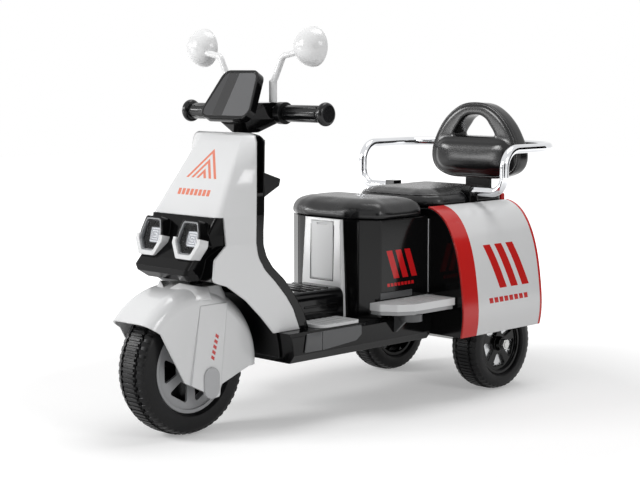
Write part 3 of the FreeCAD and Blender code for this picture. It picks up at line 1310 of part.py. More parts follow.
# Seat box: a black shell with a white front panel, the battery behind a hatch, and the front seat.
def box_plan(inset):
    length = box_front_x - box_rear_x
    half = [(box_front_x - length * back - (inset if back == 0 else 0), BOX_HALF * across - inset)
            for back, across in BOX_CORNER_SHARES]
    half.append((box_rear_x + inset, BOX_HALF - inset))
    return both_ways(half)


def box_radii():
    corners = [BOX_ROUNDING / 2, BOX_ROUNDING, BOX_ROUNDING, WALL + CLOSE_ENOUGH]
    return corners + corners[::-1]


def panel_front(z):
    """Front face of the white panel, which leans out towards the floor."""
    return box_front_x + PANEL_THICKNESS + PANEL_FOOT_LEAN * (BOX_TOP_Z - z) / (BOX_TOP_Z - FLOOR_Z)


pocket_half = BATTERY_WIDTH / 2 + SIDE_PLAY
pocket_end_x = box_front_x - BATTERY_LENGTH - 4 * SIDE_PLAY
pocket_floor_z = HATCH_FOOT_Z + 2 * POCKET_WALL


def seat_box():
    outer = plan_prism(box_plan(0.0), FLOOR_Z + COVER_GAP, BOX_TOP_Z, box_radii())
    inner = plan_prism(box_plan(WALL), FLOOR_Z - CUT_OVERRUN, BOX_TOP_Z - WALL, 0.0)
    shell = outer.cut(inner)
    opening = block(box_front_x - CUT_OVERRUN, box_front_x + CUT_OVERRUN, -pocket_half - 2 * POCKET_WALL,
                    pocket_half + 2 * POCKET_WALL, pocket_floor_z - 2 * POCKET_WALL, HATCH_TOP_Z)
    socket_x = box_rear_x + SOCKET_SETBACK
    hole = disc(SOCKET_RADIUS + COVER_GAP, -BOX_HALF - CUT_OVERRUN, -BOX_HALF / 2, socket_x, SOCKET_Z)
    return shell.cut([opening, hole])


def front_panel():
    """White panel with the hatch opening and the battery pocket moulded behind it."""
    low = FLOOR_Z + COVER_GAP
    back = box_front_x + COVER_GAP
    sheet = loft([outline([V(back, -half, z), V(panel_front(z), -half, z), V(panel_front(z), half, z),
                           V(back, half, z)],
                          [0.0, WALL, WALL, 0.0])
                  for z, half in ((low, PANEL_FOOT_HALF), (BOX_TOP_Z, PANEL_TOP_HALF))])
    pocket = block(pocket_end_x - POCKET_WALL, box_front_x + WALL, -pocket_half - POCKET_WALL,
                   pocket_half + POCKET_WALL,
                   pocket_floor_z - POCKET_WALL, HATCH_TOP_Z - COVER_GAP)
    body = joined(sheet, pocket)
    space = block(pocket_end_x, box_front_x + CUT_OVERRUN, -pocket_half, pocket_half, pocket_floor_z,
                  HATCH_TOP_Z - POCKET_WALL - COVER_GAP)
    door = block(hatch_back, box_front_x + 2 * CUT_OVERRUN, -HATCH_HALF, HATCH_HALF, HATCH_FOOT_Z,
                 HATCH_TOP_Z)
    pins = disc(HATCH_HINGE_RADIUS + RUNNING_GAP, -HATCH_HALF - WALL, HATCH_HALF + WALL, hatch_pin_x,
                hatch_pin_z)
    return body.cut([space, door, pins])


hatch_back = box_front_x + COVER_GAP + PANEL_THICKNESS / 4
hatch_front = panel_front(HATCH_FOOT_Z) - HATCH_RECESS
hatch_pin_x = hatch_front - HATCH_HINGE_RADIUS - SIDE_PLAY
hatch_pin_z = HATCH_FOOT_Z + COVER_GAP + HATCH_HINGE_RADIUS + SIDE_PLAY


def hatch():
    """Battery door hinged along its bottom edge, with a finger slot at the top."""
    half = HATCH_HALF - SIDE_PLAY
    corner = HATCH_HINGE_RADIUS + SIDE_PLAY
    low = HATCH_FOOT_Z + COVER_GAP
    high = HATCH_TOP_Z - SIDE_PLAY
    back = hatch_back + COVER_GAP
    door = side_prism([(back, low), (hatch_front, low), (hatch_front, high), (back, high)], -half, half,
                      [corner, corner, 0.0, 0.0])
    slot_top = high - HATCH_SLOT_HEIGHT
    slot = block(hatch_front - HATCH_SLOT_DEPTH, hatch_front + CUT_OVERRUN, -HATCH_SLOT_HALF,
                 HATCH_SLOT_HALF,
                 slot_top - HATCH_SLOT_HEIGHT, slot_top)
    pins = disc(HATCH_HINGE_RADIUS, -half - WALL, half + WALL, hatch_pin_x, hatch_pin_z)
    return joined(door.cut(slot), pins)


def battery():
    low = pocket_floor_z
    front = box_front_x - SIDE_PLAY
    case = block(front - BATTERY_LENGTH, front, -BATTERY_WIDTH / 2, BATTERY_WIDTH / 2, low,
                 low + BATTERY_HEIGHT)
    terminals = []
    for side in (-1, 1):
        foot = V(front - BATTERY_LENGTH / 4, side * BATTERY_WIDTH / 4, low + BATTERY_HEIGHT)
        terminals.append(rod(BATTERY_TERMINAL_RADIUS, foot, foot + UP * BATTERY_TERMINAL_HEIGHT))
    return joined(case, *terminals)


def controller():
    rear = box_rear_x + CONTROLLER_SETBACK
    half = CONTROLLER_WIDTH / 2
    low = FLOOR_Z
    return plan_prism([(rear, -half), (rear + CONTROLLER_LENGTH, -half), (rear + CONTROLLER_LENGTH, half),
                       (rear, half)], low, low + CONTROLLER_HEIGHT, WALL)


def charging_socket():
    x = box_rear_x + SOCKET_SETBACK
    face = -BOX_HALF - COVER_GAP
    flange = disc(SOCKET_FLANGE_RADIUS, face - SOCKET_FLANGE_THICKNESS, face, x, SOCKET_Z)
    barrel = disc(SOCKET_RADIUS, face, face + SOCKET_LENGTH, x, SOCKET_Z)
    bore = disc(SOCKET_BORE, face - SOCKET_FLANGE_THICKNESS,
                face - SOCKET_FLANGE_THICKNESS + SOCKET_PIN_DEPTH, x, SOCKET_Z)
    return joined(flange, barrel).cut(bore)


def cushion(half_points, radii, low, height, overhang):
    """Padded seat: a plan outline drawn in over its rounded edge and again at the crown."""
    sections = []
    for up, inset_share in SEAT_LEVEL_SHARES:
        inset = SEAT_CROWN_INSET * inset_share - overhang
        rounded = [max(radius - inset, WALL) for radius in radii]
        sections.append(plan_wire(drawn_in(both_ways(half_points), inset), low + height * up,
                                  rounded + rounded[::-1]))
    return loft(sections)


def drawn_in(points, inset):
    """The outline with every side moved inward by the inset."""
    count = len(points)
    moved = []
    for index, (x, y) in enumerate(points):
        before = V(x - points[index - 1][0], y - points[index - 1][1], 0).normalize()
        after = V(points[(index + 1) % count][0] - x, points[(index + 1) % count][1] - y, 0).normalize()
        across = (before.cross(UP) + after.cross(UP)).normalize()
        reach = inset / across.dot(before.cross(UP))
        moved.append((x - across.x * reach, y - across.y * reach))
    return moved


def front_seat():
    points = box_plan(0.0)[:3] + [(seat_rear_x, BOX_HALF)]
    radii = [BOX_ROUNDING, BOX_ROUNDING * 2, BOX_ROUNDING * 2, BOX_ROUNDING * 2]
    return cushion(points, radii, BOX_TOP_Z + COVER_GAP, SEAT_HEIGHT, SEAT_OVERHANG)


save("seat_box", seat_box())
save("seat_box_front", front_panel())
save("battery_hatch", hatch())
save("battery", battery())
save("control_board", controller())
save("charging_socket", charging_socket())
save("front_seat", front_seat())


# Rear body: a black inner moulding with bulkheads and deck, between two barrel-shaped white side panels.
def panel_spots(inset):
    """Points of the barrel profile of the left side panel, moved inward by the inset."""
    height = PANEL_CREST_Z - PANEL_FOOT_Z
    spots = [V(0, PANEL_HALF * across, PANEL_FOOT_Z + height * up) for across, up in PANEL_PROFILE_SHARES]
    moved = []
    for index, spot in enumerate(spots):
        along = spots[min(index + 1, len(spots) - 1)] - spots[max(index - 1, 0)]
        moved.append(spot + along.cross(AHEAD).normalize() * inset)
    return moved


def panel_curve(spots, x):
    curve = Part.BSplineCurve()
    curve.interpolate([V(x, spot.y, spot.z) for spot in spots])
    return curve.toShape()


def side_panel():
    outside = panel_spots(0.0)
    inside = panel_spots(WALL)
    outer = panel_curve(outside, body_rear_x)
    inner = panel_curve(inside, body_rear_x)
    ends = [Part.makeLine(outer.valueAt(outer.LastParameter), inner.valueAt(inner.LastParameter)),
            Part.makeLine(inner.valueAt(inner.FirstParameter), outer.valueAt(outer.FirstParameter))]
    wire = Part.Wire([outer, ends[0], inner, ends[1]])
    return Part.Face(wire).extrude(V(body_front_x - body_rear_x, 0, 0))


def bulkhead(x_from, x_to):
    """Plate across the rear body, as wide as the inside of the side panels."""
    spots = panel_spots(WALL + COVER_GAP)
    left = panel_curve(spots, x_from)
    right = panel_curve([V(0, -spot.y, spot.z) for spot in spots], x_from)
    foot = Part.makeLine(left.valueAt(left.LastParameter), right.valueAt(right.LastParameter))
    top = Part.makeLine(right.valueAt(right.FirstParameter), left.valueAt(left.FirstParameter))
    return Part.Face(Part.Wire([left, foot, right, top])).extrude(V(x_to - x_from, 0, 0))


rail_post_in = rear_seat_half - 2 * RAIL_POST_HALF + RAIL_POST_PROUD
rail_post_out = rear_seat_half + RAIL_POST_PROUD


def rail_post():
    """Left socket that stands up from the deck and holds the end of the grab rail."""
    return block(rail_x - RAIL_POST_HALF, rail_x + RAIL_POST_HALF, rail_post_in, rail_post_out,
                 BODY_DECK_Z - 2 * WALL, RAIL_FOOT_Z + RAIL_POST_HALF)


def rear_body():
    deck_top = BODY_DECK_Z
    front = bulkhead(body_front_x - WALL, body_front_x)
    rear = bulkhead(body_rear_x, body_rear_x + WALL)
    rear = rear.common(block(body_rear_x, body_front_x, -PANEL_HALF, PANEL_HALF, BODY_REAR_FOOT_Z,
                             PANEL_CREST_Z))
    whole = bulkhead(body_rear_x, body_front_x)
    deck = whole.common(block(body_rear_x, body_front_x, -PANEL_HALF, PANEL_HALF, deck_top - WALL,
                              PANEL_CREST_Z))
    core = block(body_rear_x, body_front_x, -body_core_half, body_core_half, TRAY_TOP_Z + COVER_GAP,
                 deck_top)
    core = core.cut(block(body_rear_x + WALL, body_front_x - WALL, WALL - body_core_half,
                          body_core_half - WALL,
                          TRAY_TOP_Z + COVER_GAP + WALL, deck_top - WALL))
    post = rail_post()
    body = joined(core, front, rear, deck, post, mirrored(post))
    socket = disc(RAIL_RADIUS + RUNNING_GAP, rail_post_in + WALL, rail_post_out + CUT_OVERRUN, rail_x,
                  RAIL_FOOT_Z)
    above = block(body_rear_x, body_front_x, -rear_seat_half, rear_seat_half, deck_top, PANEL_CREST_Z)
    above = above.cut([rail_post(), mirrored(rail_post())])
    tray_way = block(body_front_x - WALL, body_front_x, -tray_half - COVER_GAP, tray_half + COVER_GAP,
                     PANEL_FOOT_Z - CUT_OVERRUN, TRAY_TOP_Z + COVER_GAP)
    return body.cut([socket, mirrored(socket), above, tray_way])


panel_left = side_panel()
save("rear_body", rear_body())
save("side_panel_left", panel_left.cut(rail_post()))
save("side_panel_right", mirrored(panel_left.cut(rail_post())))


# Rear steps: two-layer plates beside the seat box on black brackets with an adjusting knob.
def step_plan(inset):
    length = step_front_x - body_front_x - WALL
    depth = step_outer - BOX_HALF - COVER_GAP
    return [(step_front_x - inset - (length - 2 * inset) * back,
             BOX_HALF + COVER_GAP + (depth - inset) * out)
            for back, out in STEP_NOSE_SHARES]


def rear_step():
    low = STEP_TOP_Z - STEP_UPPER
    rounding = [0.0, STEP_ROUNDING, STEP_ROUNDING, STEP_ROUNDING, WALL, 0.0]
    upper = plan_prism(step_plan(0.0), low, STEP_TOP_Z, rounding)
    lower = plan_prism(step_plan(STEP_LOWER_INSET), low - STEP_LOWER, low, rounding)
    body = joined(upper, lower)
    middle = (BOX_HALF + step_outer) / 2
    half = (step_outer - BOX_HALF) / 2 - STEP_ROUNDING
    length = step_front_x - body_front_x
    pitch = length / (STEP_RIB_COUNT + 3)
    for index in range(STEP_RIB_COUNT):
        x = body_front_x + pitch * (index + 1)
        body = body.cut(block(x - STEP_RIB_WIDTH / 2, x + STEP_RIB_WIDTH / 2, middle - half, middle + half,
                              STEP_TOP_Z - STEP_RIB_DEPTH, STEP_TOP_Z + CUT_OVERRUN))
    return body


def step_bracket():
    """Arm under the left step, fixed to the floor side, with the knob at its outer end."""
    top = STEP_TOP_Z - STEP_UPPER - STEP_LOWER - COVER_GAP
    length = step_front_x - body_front_x
    knob_x = step_front_x - length * KNOB_SHARE
    knob_y = step_outer - KNOB_RADIUS
    inner = floor_half + COVER_GAP
    arm = block(knob_x - KNOB_RADIUS, knob_x + KNOB_RADIUS, inner, knob_y, top - BRACKET_THICKNESS, top)
    brace = front_prism([(inner, top), (inner, CHASSIS_FOOT_Z + 2 * KNOB_HEIGHT),
                         (inner + WALL, CHASSIS_FOOT_Z + 2 * KNOB_HEIGHT),
                         (knob_y, top - BRACKET_THICKNESS), (knob_y, top)], knob_x - WALL, knob_x + WALL)
    foot = V(knob_x, knob_y, top - KNOB_HEIGHT)
    knob = rod(KNOB_RADIUS, foot, foot + UP * KNOB_HEIGHT)
    return joined(arm, brace, knob)


save("rear_steps", rear_step(), mirrored(rear_step()))
save("step_brackets", step_bracket(), mirrored(step_bracket()))


# Rear seat, backrest on its post, chrome grab rail and the tail light.
def rear_seat():
    length = rear_seat_front_x - rear_seat_rear_x
    points = [(rear_seat_front_x - length * back, rear_seat_half * across) for back,
              across in REAR_SEAT_CORNER_SHARES]
    points.append((rear_seat_rear_x, rear_seat_half))
    radii = [REAR_SEAT_ROUNDING, REAR_SEAT_ROUNDING * 2, REAR_SEAT_ROUNDING * 2, REAR_SEAT_ROUNDING * 2]
    pad = cushion(points, radii, BODY_DECK_Z + COVER_GAP, REAR_SEAT_HEIGHT, 0.0)
    reach = RAIL_POST_HALF + SIDE_PLAY
    notch = block(rail_x - reach, rail_x + reach, rail_post_in - SIDE_PLAY, PANEL_HALF, BODY_DECK_Z,
                  BACKREST_TOP_Z)
    return pad.cut([notch, mirrored(notch)])


def backrest_wire(inset, x):
    height = BACKREST_TOP_Z - BACKREST_FOOT_Z
    points = both_sides([(BACKREST_HALF * across, BACKREST_FOOT_Z + height * up) for across,
                         up in BACKREST_SHARES])
    points = drawn_in(points, inset)
    radii = [BACKREST_HALF * share - inset for share in BACKREST_ROUNDING_SHARES]
    return outline([V(x, y, z) for y, z in points], radii + radii[::-1])


def backrest():
    rear_x = backrest_front_x - BACKREST_THICKNESS
    shell = loft([backrest_wire(BACKREST_EDGE, rear_x), backrest_wire(0.0, rear_x + BACKREST_EDGE),
                  backrest_wire(0.0, backrest_front_x - BACKREST_EDGE),
                  backrest_wire(BACKREST_EDGE / 2, backrest_front_x)])
    half = BACKREST_HALF - BACKREST_PAD_INSET
    crown = BACKREST_PAD_CROWN
    top = BACKREST_HOLE_FOOT_Z - crown / 2
    low = BACKREST_FOOT_Z + BACKREST_PAD_INSET
    pad = []
    for inset, x in ((0, backrest_front_x - crown), (0, backrest_front_x),
                     (crown, backrest_front_x + crown * PAD_RISE_SHARE),
                     (3 * crown, backrest_front_x + crown)):
        points = [(-half + inset, low + inset / 2), (half - inset, low + inset / 2),
                  (half - inset, top - inset / 2), (-half + inset, top - inset / 2)]
        rounding = BACKREST_PAD_ROUNDING - inset / 2
        pad.append(outline([V(x, y, z) for y, z in points], rounding))
    foot_half = BACKREST_HOLE_HALF
    top_half = foot_half * HOLE_TOP_SHARE
    hole = front_prism([(-foot_half, BACKREST_HOLE_FOOT_Z), (foot_half, BACKREST_HOLE_FOOT_Z),
                        (top_half, BACKREST_HOLE_TOP_Z), (-top_half, BACKREST_HOLE_TOP_Z)],
                       rear_x - CUT_OVERRUN, backrest_front_x + CUT_OVERRUN,
                       [WALL, WALL, BACKREST_HOLE_ROUNDING, BACKREST_HOLE_ROUNDING])
    body = joined(shell, loft(pad)).cut(hole)
    return body.cut(post_block(COVER_GAP))


def post_block(room):
    """Bracket from the rear bulkhead up into the backrest, with room round it for its socket."""
    front = backrest_front_x - POST_SETBACK + room
    rear = front - POST_THICKNESS - 2 * room
    top = BACKREST_FOOT_Z + POST_INSERT + room
    return block(rear, front, -POST_HALF - room, POST_HALF + room, BODY_REAR_FOOT_Z, top)


def backrest_post():
    upright = post_block(0.0)
    foot_top = BODY_DECK_Z - TAIL_LIGHT_HEIGHT - TAIL_LIGHT_DROP
    bridge = block(backrest_front_x - POST_SETBACK - POST_THICKNESS, body_rear_x - COVER_GAP, -POST_HALF,
                   POST_HALF, BODY_REAR_FOOT_Z, foot_top)
    return joined(upright, bridge)


def tail_light():
    front = body_rear_x - COVER_GAP
    low = BODY_DECK_Z - TAIL_LIGHT_HEIGHT
    points = both_sides([(TAIL_LIGHT_HALF, low), (TAIL_LIGHT_HALF, BODY_DECK_Z + TAIL_LIGHT_RISE)])
    return front_prism(points, front - TAIL_LIGHT_DEPTH, front, WALL)


def grab_rail():
    inner = rail_post_in + WALL + COVER_GAP
    left = [V(rail_x, inner, RAIL_FOOT_Z), V(rail_x, rail_half, RAIL_FOOT_Z),
            V(rail_x, rail_half, RAIL_TOP_Z),
            V(rail_rear_x, rail_half, RAIL_TOP_Z)]
    right = [V(spot.x, -spot.y, spot.z) for spot in reversed(left)]
    bends = [RAIL_FOOT_BEND, RAIL_TOP_BEND, rail_half * RAIL_REAR_BEND_SHARE]
    return bent_tube(left + right, bends + bends[::-1], RAIL_RADIUS)


save("rear_seat", rear_seat())
save("backrest", backrest())
save("backrest_post", backrest_post())
save("grab_rail", grab_rail())
save("tail_light", tail_light())


# Rear wheels on a fixed axle; the right hub carries the driven gear.
hub_inner = tray_half + SIDE_PLAY
gear_start = rear_wheel_y - REAR_TYRE_WIDTH / 2 - GEAR_SIDE_GAP - DRIVE_GEAR_WIDTH


def rear_hub(inner_end):
    """Left hub, its spoked face outside and its boss reaching in to the given place."""
    rim_half = bead_half(REAR_TYRE_WIDTH)
    face = REAR_TYRE_WIDTH / 2 - HUB_FACE_SETBACK
    inside = REAR_RIM_RADIUS - HUB_RIM_WALL
    body = ring(REAR_RIM_RADIUS, inside, -rim_half, rim_half)
    spokes = disc(inside, face - HUB_FACE_WALL, face)
    spokes = spokes.cut(Part.makeCompound(windows(REAR_WINDOW_COUNT, REAR_WINDOW_IN_RADIUS,
                                                  REAR_WINDOW_OUT_RADIUS,
                                                  -CUT_OVERRUN, face + CUT_OVERRUN)))
    outer_end = REAR_TYRE_WIDTH / 2
    boss = disc(HUB_BOSS_RADIUS, inner_end - rear_wheel_y, outer_end)
    bore = disc(REAR_AXLE_RADIUS + RUNNING_GAP, -rear_track, rear_track)
    body = joined(body, spokes, boss).cut(bore)
    return place(body, rear_axle_x, rear_wheel_y, rear_axle_z)


def brake_disc():
    """Perforated bright ring on the boss, behind the spokes of the left wheel."""
    face = rear_wheel_y + REAR_TYRE_WIDTH / 2 - HUB_FACE_SETBACK - HUB_FACE_WALL - COVER_GAP
    body = ring(BRAKE_DISC_RADIUS, HUB_BOSS_RADIUS + COVER_GAP, face - BRAKE_DISC_THICKNESS, face,
                rear_axle_x, rear_axle_z)
    holes = []
    for index in range(BRAKE_HOLE_COUNT):
        angle = 2 * math.pi * index / BRAKE_HOLE_COUNT
        holes.append(disc(BRAKE_HOLE_RADIUS, face - BRAKE_DISC_THICKNESS - SIDE_PLAY, face + SIDE_PLAY,
                          rear_axle_x + BRAKE_HOLE_CIRCLE * math.cos(angle),
                          rear_axle_z + BRAKE_HOLE_CIRCLE * math.sin(angle)))
    return body.cut(holes)


def rear_axle():
    reach = rear_wheel_y + REAR_TYRE_WIDTH / 2 + SIDE_PLAY + NUT_THICKNESS + AXLE_END
    start = rear_wheel_y + REAR_TYRE_WIDTH / 2 + SIDE_PLAY
    end_nut = nut(REAR_AXLE_RADIUS, start, start + NUT_THICKNESS, rear_axle_x, rear_axle_z)
    return [disc(REAR_AXLE_RADIUS, -reach, reach, rear_axle_x, rear_axle_z), end_nut, mirrored(end_nut)]


def drive_gear():
    """Gear on the right hub, a tooth of it pointing at the reduction gear."""
    wheel = gear(DRIVE_TEETH, DRIVE_MODULE, -gear_start - DRIVE_GEAR_WIDTH, -gear_start, rear_axle_x,
                 rear_axle_z,
                 GEAR_TILT_DEG)
    bore = disc(HUB_BOSS_RADIUS - WALL, -rear_track, 0, rear_axle_x, rear_axle_z)
    return wheel.cut(bore)


left_tyre = place(tyre(REAR_TYRE_RADIUS, REAR_TYRE_WIDTH, REAR_RIM_RADIUS), rear_axle_x, rear_wheel_y,
                  rear_axle_z)
save("rear_tyre_left", left_tyre)
save("rear_tyre_right", mirrored(left_tyre))
save("rear_hub_left", rear_hub(hub_inner))
save("rear_hub_right", joined(mirrored(rear_hub(gear_start)), drive_gear()))
save("brake_disc_left", brake_disc())
save("brake_disc_right", mirrored(brake_disc()))
save("rear_axle", *rear_axle())

# Drive: the motor in the rear tray turns the wheel through a pinion and a two-step gear in a housing.
big_start = gear_start - GEAR_GAP - BIG_GEAR_WIDTH
box_in = tray_half + COVER_GAP
box_out = gear_start + DRIVE_GEAR_WIDTH + GEAR_SIDE_GAP / 2


def reduction_gear():
    """Right side: the small gear drives the wheel, the big one is driven by the motor pinion."""
    small = gear(SMALL_TEETH, DRIVE_MODULE, -gear_start - DRIVE_GEAR_WIDTH, -gear_start, reduction_x,
                 reduction_z,
                 GEAR_TILT_DEG + ROUND_DEG / 2 + ROUND_DEG / 2 / SMALL_TEETH)
    big = gear(BIG_TEETH, BIG_MODULE, -big_start - BIG_GEAR_WIDTH, -big_start, reduction_x, reduction_z,
               GEAR_TILT_DEG)
    spindle = disc(REDUCTION_SHAFT_RADIUS, WALL / 2 - box_out, -WALL / 2 - box_in, reduction_x, reduction_z)
    hub = disc(HUB_BOSS_RADIUS / 3, -gear_start - DRIVE_GEAR_WIDTH, -big_start, reduction_x, reduction_z)
    return joined(small, big, spindle, hub)


def motor_pinion():
    wheel = gear(PINION_TEETH, BIG_MODULE, -big_start - BIG_GEAR_WIDTH, -big_start, motor_x, motor_z,
                 GEAR_TILT_DEG + ROUND_DEG / 2 + ROUND_DEG / 2 / PINION_TEETH)
    shaft = disc(MOTOR_SHAFT_RADIUS, -big_start, -motor_end, motor_x, motor_z)
    return joined(wheel, shaft)


motor_end = tray_half - CARRIER_THICKNESS - COVER_GAP


def motor():
    can = disc(MOTOR_RADIUS, -motor_end, MOTOR_LENGTH - motor_end, motor_x, motor_z)
    bore = disc(MOTOR_SHAFT_RADIUS + RUNNING_GAP, -motor_end, 2 * CUT_OVERRUN - motor_end, motor_x, motor_z)
    return can.cut(bore)


def gearbox_housing():
    """Split cover on the right side of the tray, open where the wheel gear meets the small gear."""
    spots = ((reduction_x, reduction_z, BIG_MODULE * BIG_TEETH / 2),
             (motor_x, motor_z, BIG_MODULE * PINION_TEETH / 2))
    outer = [disc(radius + BIG_MODULE + GEARBOX_MARGIN, -box_out, -box_in, x, z) for x, z, radius in spots]
    inner = [disc(radius + BIG_MODULE + GEARBOX_MARGIN - GEARBOX_WALL, WALL - box_out, -box_in - WALL, x, z)
             for x, z, radius in spots]
    body = joined(*outer)
    wheel_space = disc(DRIVE_MODULE * DRIVE_TEETH / 2 + DRIVE_MODULE + SIDE_PLAY, -rear_track,
                       -box_in - WALL,
                       rear_axle_x, rear_axle_z)
    boss_space = disc(HUB_BOSS_RADIUS + SIDE_PLAY, -rear_track, 0, rear_axle_x, rear_axle_z)
    bearing = disc(REDUCTION_SHAFT_RADIUS + RUNNING_GAP, -rear_track, 0, reduction_x, reduction_z)
    shaft = disc(MOTOR_SHAFT_RADIUS + SIDE_PLAY, -box_in - WALL, 0, motor_x, motor_z)
    return body.cut(inner + [wheel_space, boss_space, bearing, shaft])


save("gearbox_housing", gearbox_housing())
save("motor", motor())
save("motor_pinion", motor_pinion())
save("reduction_gear", reduction_gear())
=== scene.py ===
import math
import bpy
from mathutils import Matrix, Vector


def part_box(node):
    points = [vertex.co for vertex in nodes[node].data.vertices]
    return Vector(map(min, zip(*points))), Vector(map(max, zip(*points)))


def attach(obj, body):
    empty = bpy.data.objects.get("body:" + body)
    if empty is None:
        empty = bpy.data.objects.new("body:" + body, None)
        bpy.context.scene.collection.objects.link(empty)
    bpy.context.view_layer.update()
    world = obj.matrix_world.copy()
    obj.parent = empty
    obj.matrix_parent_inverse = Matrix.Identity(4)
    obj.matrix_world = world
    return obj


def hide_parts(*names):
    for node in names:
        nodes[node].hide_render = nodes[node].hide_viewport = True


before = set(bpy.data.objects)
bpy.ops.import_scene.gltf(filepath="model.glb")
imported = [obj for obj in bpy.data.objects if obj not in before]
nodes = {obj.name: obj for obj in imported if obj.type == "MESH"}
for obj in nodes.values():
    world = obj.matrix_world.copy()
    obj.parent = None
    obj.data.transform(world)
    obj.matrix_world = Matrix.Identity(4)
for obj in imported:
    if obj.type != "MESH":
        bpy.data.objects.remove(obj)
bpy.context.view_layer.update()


# Front wheel. A blow-moulded black tyre with fine cross ribs on its middle band, a groove each side
# and lugs on the shoulders, pressed over a pale grey hub with a black disc behind its windows, painted
# shade for the dark inside of the hub; it turns on a steel axle with hexagon nuts.
WELD_DISTANCE = 0.00002
Y_AXIS = (0, 1, 0)


def only(*pieces):
    """Selects these pieces alone, the last one active."""
    bpy.ops.object.select_all(action="DESELECT")
    for piece in pieces:
        piece.select_set(True)
    bpy.context.view_layer.objects.active = pieces[-1]


def cuboid(name, low, high):
    """A block between two corners, to be shaped further."""
    bpy.ops.object.select_all(action="DESELECT")
    middle = [(a + b) / 2 for a, b in zip(low, high)]
    bpy.ops.mesh.primitive_cube_add(size=1, location=middle)
    piece = bpy.context.object
    piece.name = name
    piece.scale = [b - a for a, b in zip(low, high)]
    bpy.ops.object.transform_apply(location=True, rotation=True, scale=True)
    return piece


def round_edges(piece, width, steps=2, least=30):
    """Rounds the edges that are sharper than the least angle."""
    only(piece)
    bevel = piece.modifiers.new("edges", "BEVEL")
    bevel.width = width
    bevel.segments = steps
    bevel.limit_method = "ANGLE"
    bevel.angle_limit = math.radians(least)
    bpy.ops.object.modifier_apply(modifier=bevel.name)
    bpy.ops.object.shade_smooth_by_angle(angle=math.radians(40))


def drawn_over(piece, test, move):
    """Moves the vertices whose place passes the test."""
    only(piece)
    bpy.ops.object.mode_set(mode="EDIT")
    bpy.ops.mesh.select_all(action="DESELECT")
    bpy.ops.object.mode_set(mode="OBJECT")
    for vertex in piece.data.vertices:
        vertex.select = test(vertex.co)
    bpy.ops.object.mode_set(mode="EDIT")
    bpy.ops.transform.translate(value=move)
    bpy.ops.object.mode_set(mode="OBJECT")


def turned(name, section, centre, axis, steps):
    """A closed section of (along, radius) points spun once round the axis through the centre."""
    bpy.ops.object.select_all(action="DESELECT")
    bpy.ops.mesh.primitive_circle_add(vertices=len(section), fill_type="NOTHING", location=(0, 0, 0))
    piece = bpy.context.object
    piece.name = name
    axis = Vector(axis).normalized()
    out = axis.orthogonal().normalized()
    for vertex, (along, radius) in zip(piece.data.vertices, section):
        vertex.co = Vector(centre) + axis * along + out * radius
    bpy.ops.object.mode_set(mode="EDIT")
    bpy.ops.mesh.select_all(action="SELECT")
    bpy.ops.mesh.spin(steps=steps, angle=2 * math.pi, center=centre, axis=axis)
    bpy.ops.mesh.select_all(action="SELECT")
    bpy.ops.mesh.remove_doubles(threshold=WELD_DISTANCE)
    bpy.ops.mesh.normals_make_consistent(inside=False)
    bpy.ops.object.mode_set(mode="OBJECT")
    bpy.ops.object.shade_smooth_by_angle(angle=math.radians(35))
    return piece


def repeat_round(piece, count, centre, axis):
    """Copies the piece's mesh round the axis so that there are count of it."""
    only(piece)
    bpy.ops.object.mode_set(mode="EDIT")
    bpy.ops.mesh.select_all(action="SELECT")
    bpy.ops.mesh.spin(steps=count - 1, dupli=True, angle=2 * math.pi * (count - 1) / count,
                      center=centre, axis=axis)
    bpy.ops.object.mode_set(mode="OBJECT")


def finished(piece, material, body):
    """Gives a made piece its material and the body it rides on."""
    piece.data.materials.clear()
    piece.data.materials.append(material)
    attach(piece, body)


def node_group(name, inputs, outputs):
    """An empty shader group with its sockets, and its two end nodes."""
    tree = bpy.data.node_groups.new(name, "ShaderNodeTree")
    for label, kind, value in inputs:
        socket = tree.interface.new_socket(label, in_out="INPUT", socket_type="NodeSocket" + kind)
        socket.default_value = value
    for label, kind in outputs:
        tree.interface.new_socket(label, in_out="OUTPUT", socket_type="NodeSocket" + kind)
    return tree, tree.nodes.new("NodeGroupInput").outputs, tree.nodes.new("NodeGroupOutput").inputs


def join_to(tree, value, socket):
    """Links a socket, or sets a plain value."""
    if isinstance(value, bpy.types.NodeSocket):
        tree.links.new(value, socket)
    else:
        socket.default_value = value


def sum_of(tree, operation, first, second=0.0):
    """The result of a math operation on two values or sockets."""
    node = tree.nodes.new("ShaderNodeMath")
    node.operation = operation
    join_to(tree, first, node.inputs[0])
    join_to(tree, second, node.inputs[1])
    return node.outputs[0]


def noise(tree, place, scale, detail=3.0, stretch=None):
    """Soft random pattern from 0 to 1, stretched by the given scales where named."""
    if stretch:
        mapping = tree.nodes.new("ShaderNodeMapping")
        mapping.inputs["Scale"].default_value = stretch
        tree.links.new(place, mapping.inputs["Vector"])
        place = mapping.outputs[0]
    node = tree.nodes.new("ShaderNodeTexNoise")
    node.inputs["Detail"].default_value = detail
    join_to(tree, scale, node.inputs["Scale"])
    tree.links.new(place, node.inputs["Vector"])
    return node.outputs["Fac"]


def spread(tree, value, low, high, to_low, to_high):
    """Maps a value from one range to another."""
    node = tree.nodes.new("ShaderNodeMapRange")
    for socket, number in zip(list(node.inputs)[:5], (value, low, high, to_low, to_high)):
        join_to(tree, number, socket)
    return node.outputs[0]


def blend_colour(tree, factor, first, second):
    """The first colour where the factor is 0 and the second where it is 1."""
    node = tree.nodes.new("ShaderNodeMix")
    node.data_type = "RGBA"
    join_to(tree, factor, node.inputs[0])
    join_to(tree, first, node.inputs[6])
    join_to(tree, second, node.inputs[7])
    return node.outputs[2]


